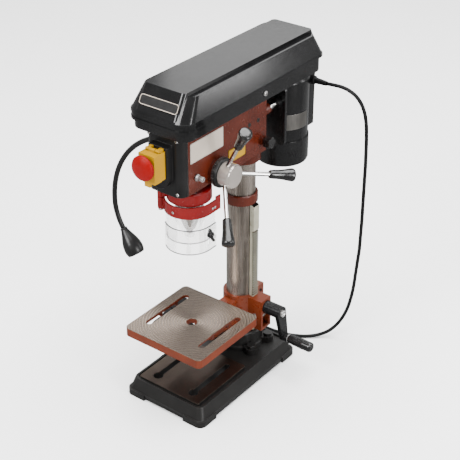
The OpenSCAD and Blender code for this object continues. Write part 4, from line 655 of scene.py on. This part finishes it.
def side_plate(name, y0, y1, z0, z1, face, edge):
    place = Matrix.Translation(Vector((HEAD_SIDE_X, (y0 + y1) / 2, (z0 + z1) / 2)) * MM) @ Matrix(
        ((0, 0, 1, 0), (1, 0, 0, 0), (0, 1, 0, 0), (0, 0, 0, 1)))
    plate(name, place, y1 - y0, z1 - z0, 2.0, 0.5, 0.7, face, edge, "stand")


side_plate("head_plate", -86.0, -10.0, 431.0, 463.0, "white", "silver")
side_plate("head_note", 2.0, 44.0, 396.0, 418.0, "gold", "plastic")


# Bare rating plate, bent round the motor
def motor_rating():
    bm = bmesh.new()
    inner, outer, low, high = 41.0, 41.5, 391.0, 417.0
    start, arc, steps = -50, 60, 16
    rows = []
    for k in range(steps + 1):
        a = math.radians(start + arc * k / steps)
        row = []
        for r, z in ((inner, low), (outer, low), (outer, high), (inner, high)):
            row.append(bm.verts.new(Vector((r * math.cos(a), MOTOR_Y + r * math.sin(a), z)) * MM))
        rows.append(row)
    skin(bm, rows)
    piece("motor_plate_bare", bm, "rating", "motor_carriage", bevel=0.15)


motor_rating()

# Fasteners
screw("tray_screw", (51.0, 65.0, 493.0), (1, 0, 0), 4.2, "stand")


# Quill lock: a stud with a turned head and a dark strip across its end, painted shade standing in for a slot
def quill_lock():
    bm = bmesh.new()
    place = facing((HEAD_SIDE_X, -72.5, 405.7), (1, 0, 0))
    stud = [(5.4, -0.3), (5.4, 2.6), (4.8, 3.2), (3.4, 3.3), (3.4, 7.0), (4.0, 7.2), (4.0, 12.4), (3.4, 13.0)]
    revolve(bm, stud, place, 32)
    piece("quill_lock", bm, "silver", "stand")
    # Painted shade: a black strip where the slot would lie in shade
    bm = bmesh.new()
    turn = Matrix.Rotation(math.radians(35), 4, "Z")
    brick(bm, (6.4, 1.0, 0.2), place @ turn @ Matrix.Translation((0, 0, 13.02 * MM)))
    piece("quill_lock_slot", bm, "plastic", "stand")


quill_lock()
for row_name, z_row in (("low", 390.0), ("top", 474.0)):
    for side_name, x_side in (("", 25.0), ("_left", -25.0)):
        screw(f"cover_screw_{row_name}{side_name}", (x_side, COVER_Y, z_row), (0, -1, 0), 2.6, "stand")
for number, y_screw in ((30, 54.0), (52, 76.0)):
    set_screw(f"column_set_screw_{number}", (HEAD_SIDE_X, y_screw, 440.0), (1, 0, 0), 3.6, "stand")
for k_cap in range(4):
    angle = math.radians(45 + 90 * k_cap)
    screw(f"motor_screw_{k_cap}", (34.0 * math.cos(angle), MOTOR_Y + 34.0 * math.sin(angle), 325.8),
          (0, 0, -1), 2.4, "motor_carriage")
for k_box, z_box in enumerate((382.0, 464.0)):
    for x_box in (-18.0, 18.0):
        screw(f"box_screw_{k_box}_{'r' if x_box > 0 else 'l'}", (x_box, 240.0, z_box), (0, 1, 0), 2.6,
              "motor_carriage")
screw("spring_cup_screw", (-52.0, FEED_Y, FEED_Z), (-1, 0, 0), 4.5, "stand")
set_screw("collar_set_screw", (15.4, 97.3, 303.5), (0.57, 0.82, 0), 2.8, "stand")
set_screw("crank_set_screw", (64.0, CRANK_Y, 122.9), (0, 0, 1), 2.6, "crank")
for y_rivet in (-45.0, -40.0):
    screw(f"guard_rivet_{int(-y_rivet)}", (38.3, y_rivet, 344.5), (1, 0, 0), 2.0, "guard")
screw("guard_rivet_front", (0.0, -90.3, 344.5), (0, -1, 0), 2.0, "guard")


# Dark strips along the edges of the clear guard sheets: painted shade standing in for the dark lines that the
# sheet edges show
def visor_edge_shade(name, inner, start, z, rise, body):
    bm = bmesh.new()
    line = [(math.radians(start + (360.0 - start) * k / 40), 0.0) for k in range(41)] + [(0.0, 15.9)]
    near, far = inner - 0.06, inner + 1.86
    rows = []
    for a, leg in line:
        row = []
        for r, h in ((near, z), (far, z), (far, z + rise), (near, z + rise)):
            row.append(bm.verts.new(Vector((r * math.cos(a), SPINDLE_Y + r * math.sin(a) + leg, h)) * MM))
        rows.append(row)
    skin(bm, rows)
    piece(name, bm, "rim", body, bevel=0.1)


visor_edge_shade("visor_rim_upper", 33.8, 219.3, 293.95, 0.7, "guard")
visor_edge_shade("visor_rim_foot", 35.95, 229.3, 275.95, 0.8, "lower_guard")
visor_edge_shade("visor_rim_top", 35.95, 229.3, 316.35, 0.7, "lower_guard")


# Crank fittings: a socket screw in the hub and a washer behind the knob
def crank_fittings():
    bm = bmesh.new()
    place = facing((85.3, CRANK_Y, 112.0), (1, 0, 0))
    revolve(bm, [(6.0, -0.2), (6.0, 2.2), (5.4, 2.8), (3.4, 2.9), (3.4, 1.2), (0.4, 1.2)], place, 32)
    piece("crank_screw", bm, "silver", "crank")
    bm = bmesh.new()
    place = facing((91.6, 86.227, 59.18), (1, 0, 0))
    revolve(bm, [(4.2, -0.3), (6.9, -0.3), (7.1, 0.2), (6.9, 0.8), (4.2, 0.9)], place, 32)
    piece("crank_washer", bm, "silver", "crank")


crank_fittings()


# Vent in the side of the motor's end cap: three slanted matt dark strips, painted shade standing in for the
# vent's slots
def motor_vent():
    bm = bmesh.new()
    for k in range(3):
        a = math.radians(-38.0 + 7.0 * k)
        axis = Matrix.Translation((0, MOTOR_Y * MM, 349.0 * MM)) @ Matrix.Rotation(a, 4, "Z")
        out = Matrix.Translation((42.35 * MM, 0, 0))
        brick(bm, (0.5, 2.6, 8.0), axis @ out @ Matrix.Rotation(math.radians(20), 4, "X"))
    # Painted shade: matt black strips in place of the shaded slots
    piece("motor_vent", bm, "rubber", "motor_carriage", bevel=0.2)


motor_vent()


# Graduations on the depth collar
def graduations():
    bm = bmesh.new()
    count, start_x, rim_r = 48, 37.8, 23.0
    for k in range(count):
        a = math.radians(360.0 * k / count)
        long = 5.0 if k % 4 == 0 else 3.0
        axis = Matrix.Translation(Vector((start_x + long / 2, FEED_Y, FEED_Z)) * MM)
        out = Matrix.Translation((0, 0, rim_r * MM))
        brick(bm, (long, 0.45, 0.16), axis @ Matrix.Rotation(a, 4, "X") @ out)
    piece("depth_marks", bm, "silver", "depth_stop", smooth=False)


graduations()


# Floor, light and surroundings
def stage():
    bm = bmesh.new()
    bmesh.ops.create_grid(bm, x_segments=1, y_segments=1, size=40.0)
    mesh = bpy.data.meshes.new("floor")
    bm.to_mesh(mesh)
    bm.free()
    m, tree, shader, xyz = new_material("floor_paper")
    tree.links.new(mix_colour(tree, span(tree, noise(tree, xyz, 3.0), 0.0, 1.0), (0.93, 0.93, 0.93, 1.0),
                              (0.95, 0.95, 0.95, 1.0)), shader.inputs["Base Color"])
    shader.inputs["Roughness"].default_value = 0.9
    shader.inputs["Specular IOR Level"].default_value = 0.1
    mesh.materials.append(m)
    floor = bpy.data.objects.new("floor", mesh)
    bpy.context.scene.collection.objects.link(floor)
    floor.visible_glossy = False
    world = bpy.data.worlds.new("studio")
    world.use_nodes = True
    world.node_tree.nodes["Background"].inputs["Color"].default_value = (1.0, 1.0, 1.0, 1.0)
    world.node_tree.nodes["Background"].inputs["Strength"].default_value = 0.55
    bpy.context.scene.world = world


def softbox(name, location, target, w, h, power):
    data = bpy.data.lights.new(name, "AREA")
    data.shape = "RECTANGLE"
    data.size = w
    data.size_y = h
    data.energy = power
    lamp = bpy.data.objects.new(name, data)
    lamp.location = location
    lamp.rotation_euler = (Vector(target) - Vector(location)).to_track_quat("-Z", "Y").to_euler()
    bpy.context.scene.collection.objects.link(lamp)


stage()
softbox("key", (-0.4, -2.2, 1.9), (0, 0, 0.25), 1.2, 1.2, 110.0)
softbox("right", (2.1, -0.2, 0.75), (0, 0, 0.25), 0.6, 1.1, 48.0)
softbox("rim", (1.5, 1.5, 0.9), (0, 0.1, 0.3), 0.3, 1.2, 14.0)
softbox("back", (-1.25, 1.95, 1.55), (0, 0, 0.3), 0.8, 0.5, 2.5)
softbox("top", (0.1, 0.4, 3.0), (0.1, 0.4, 0.0), 3.0, 3.0, 350.0)
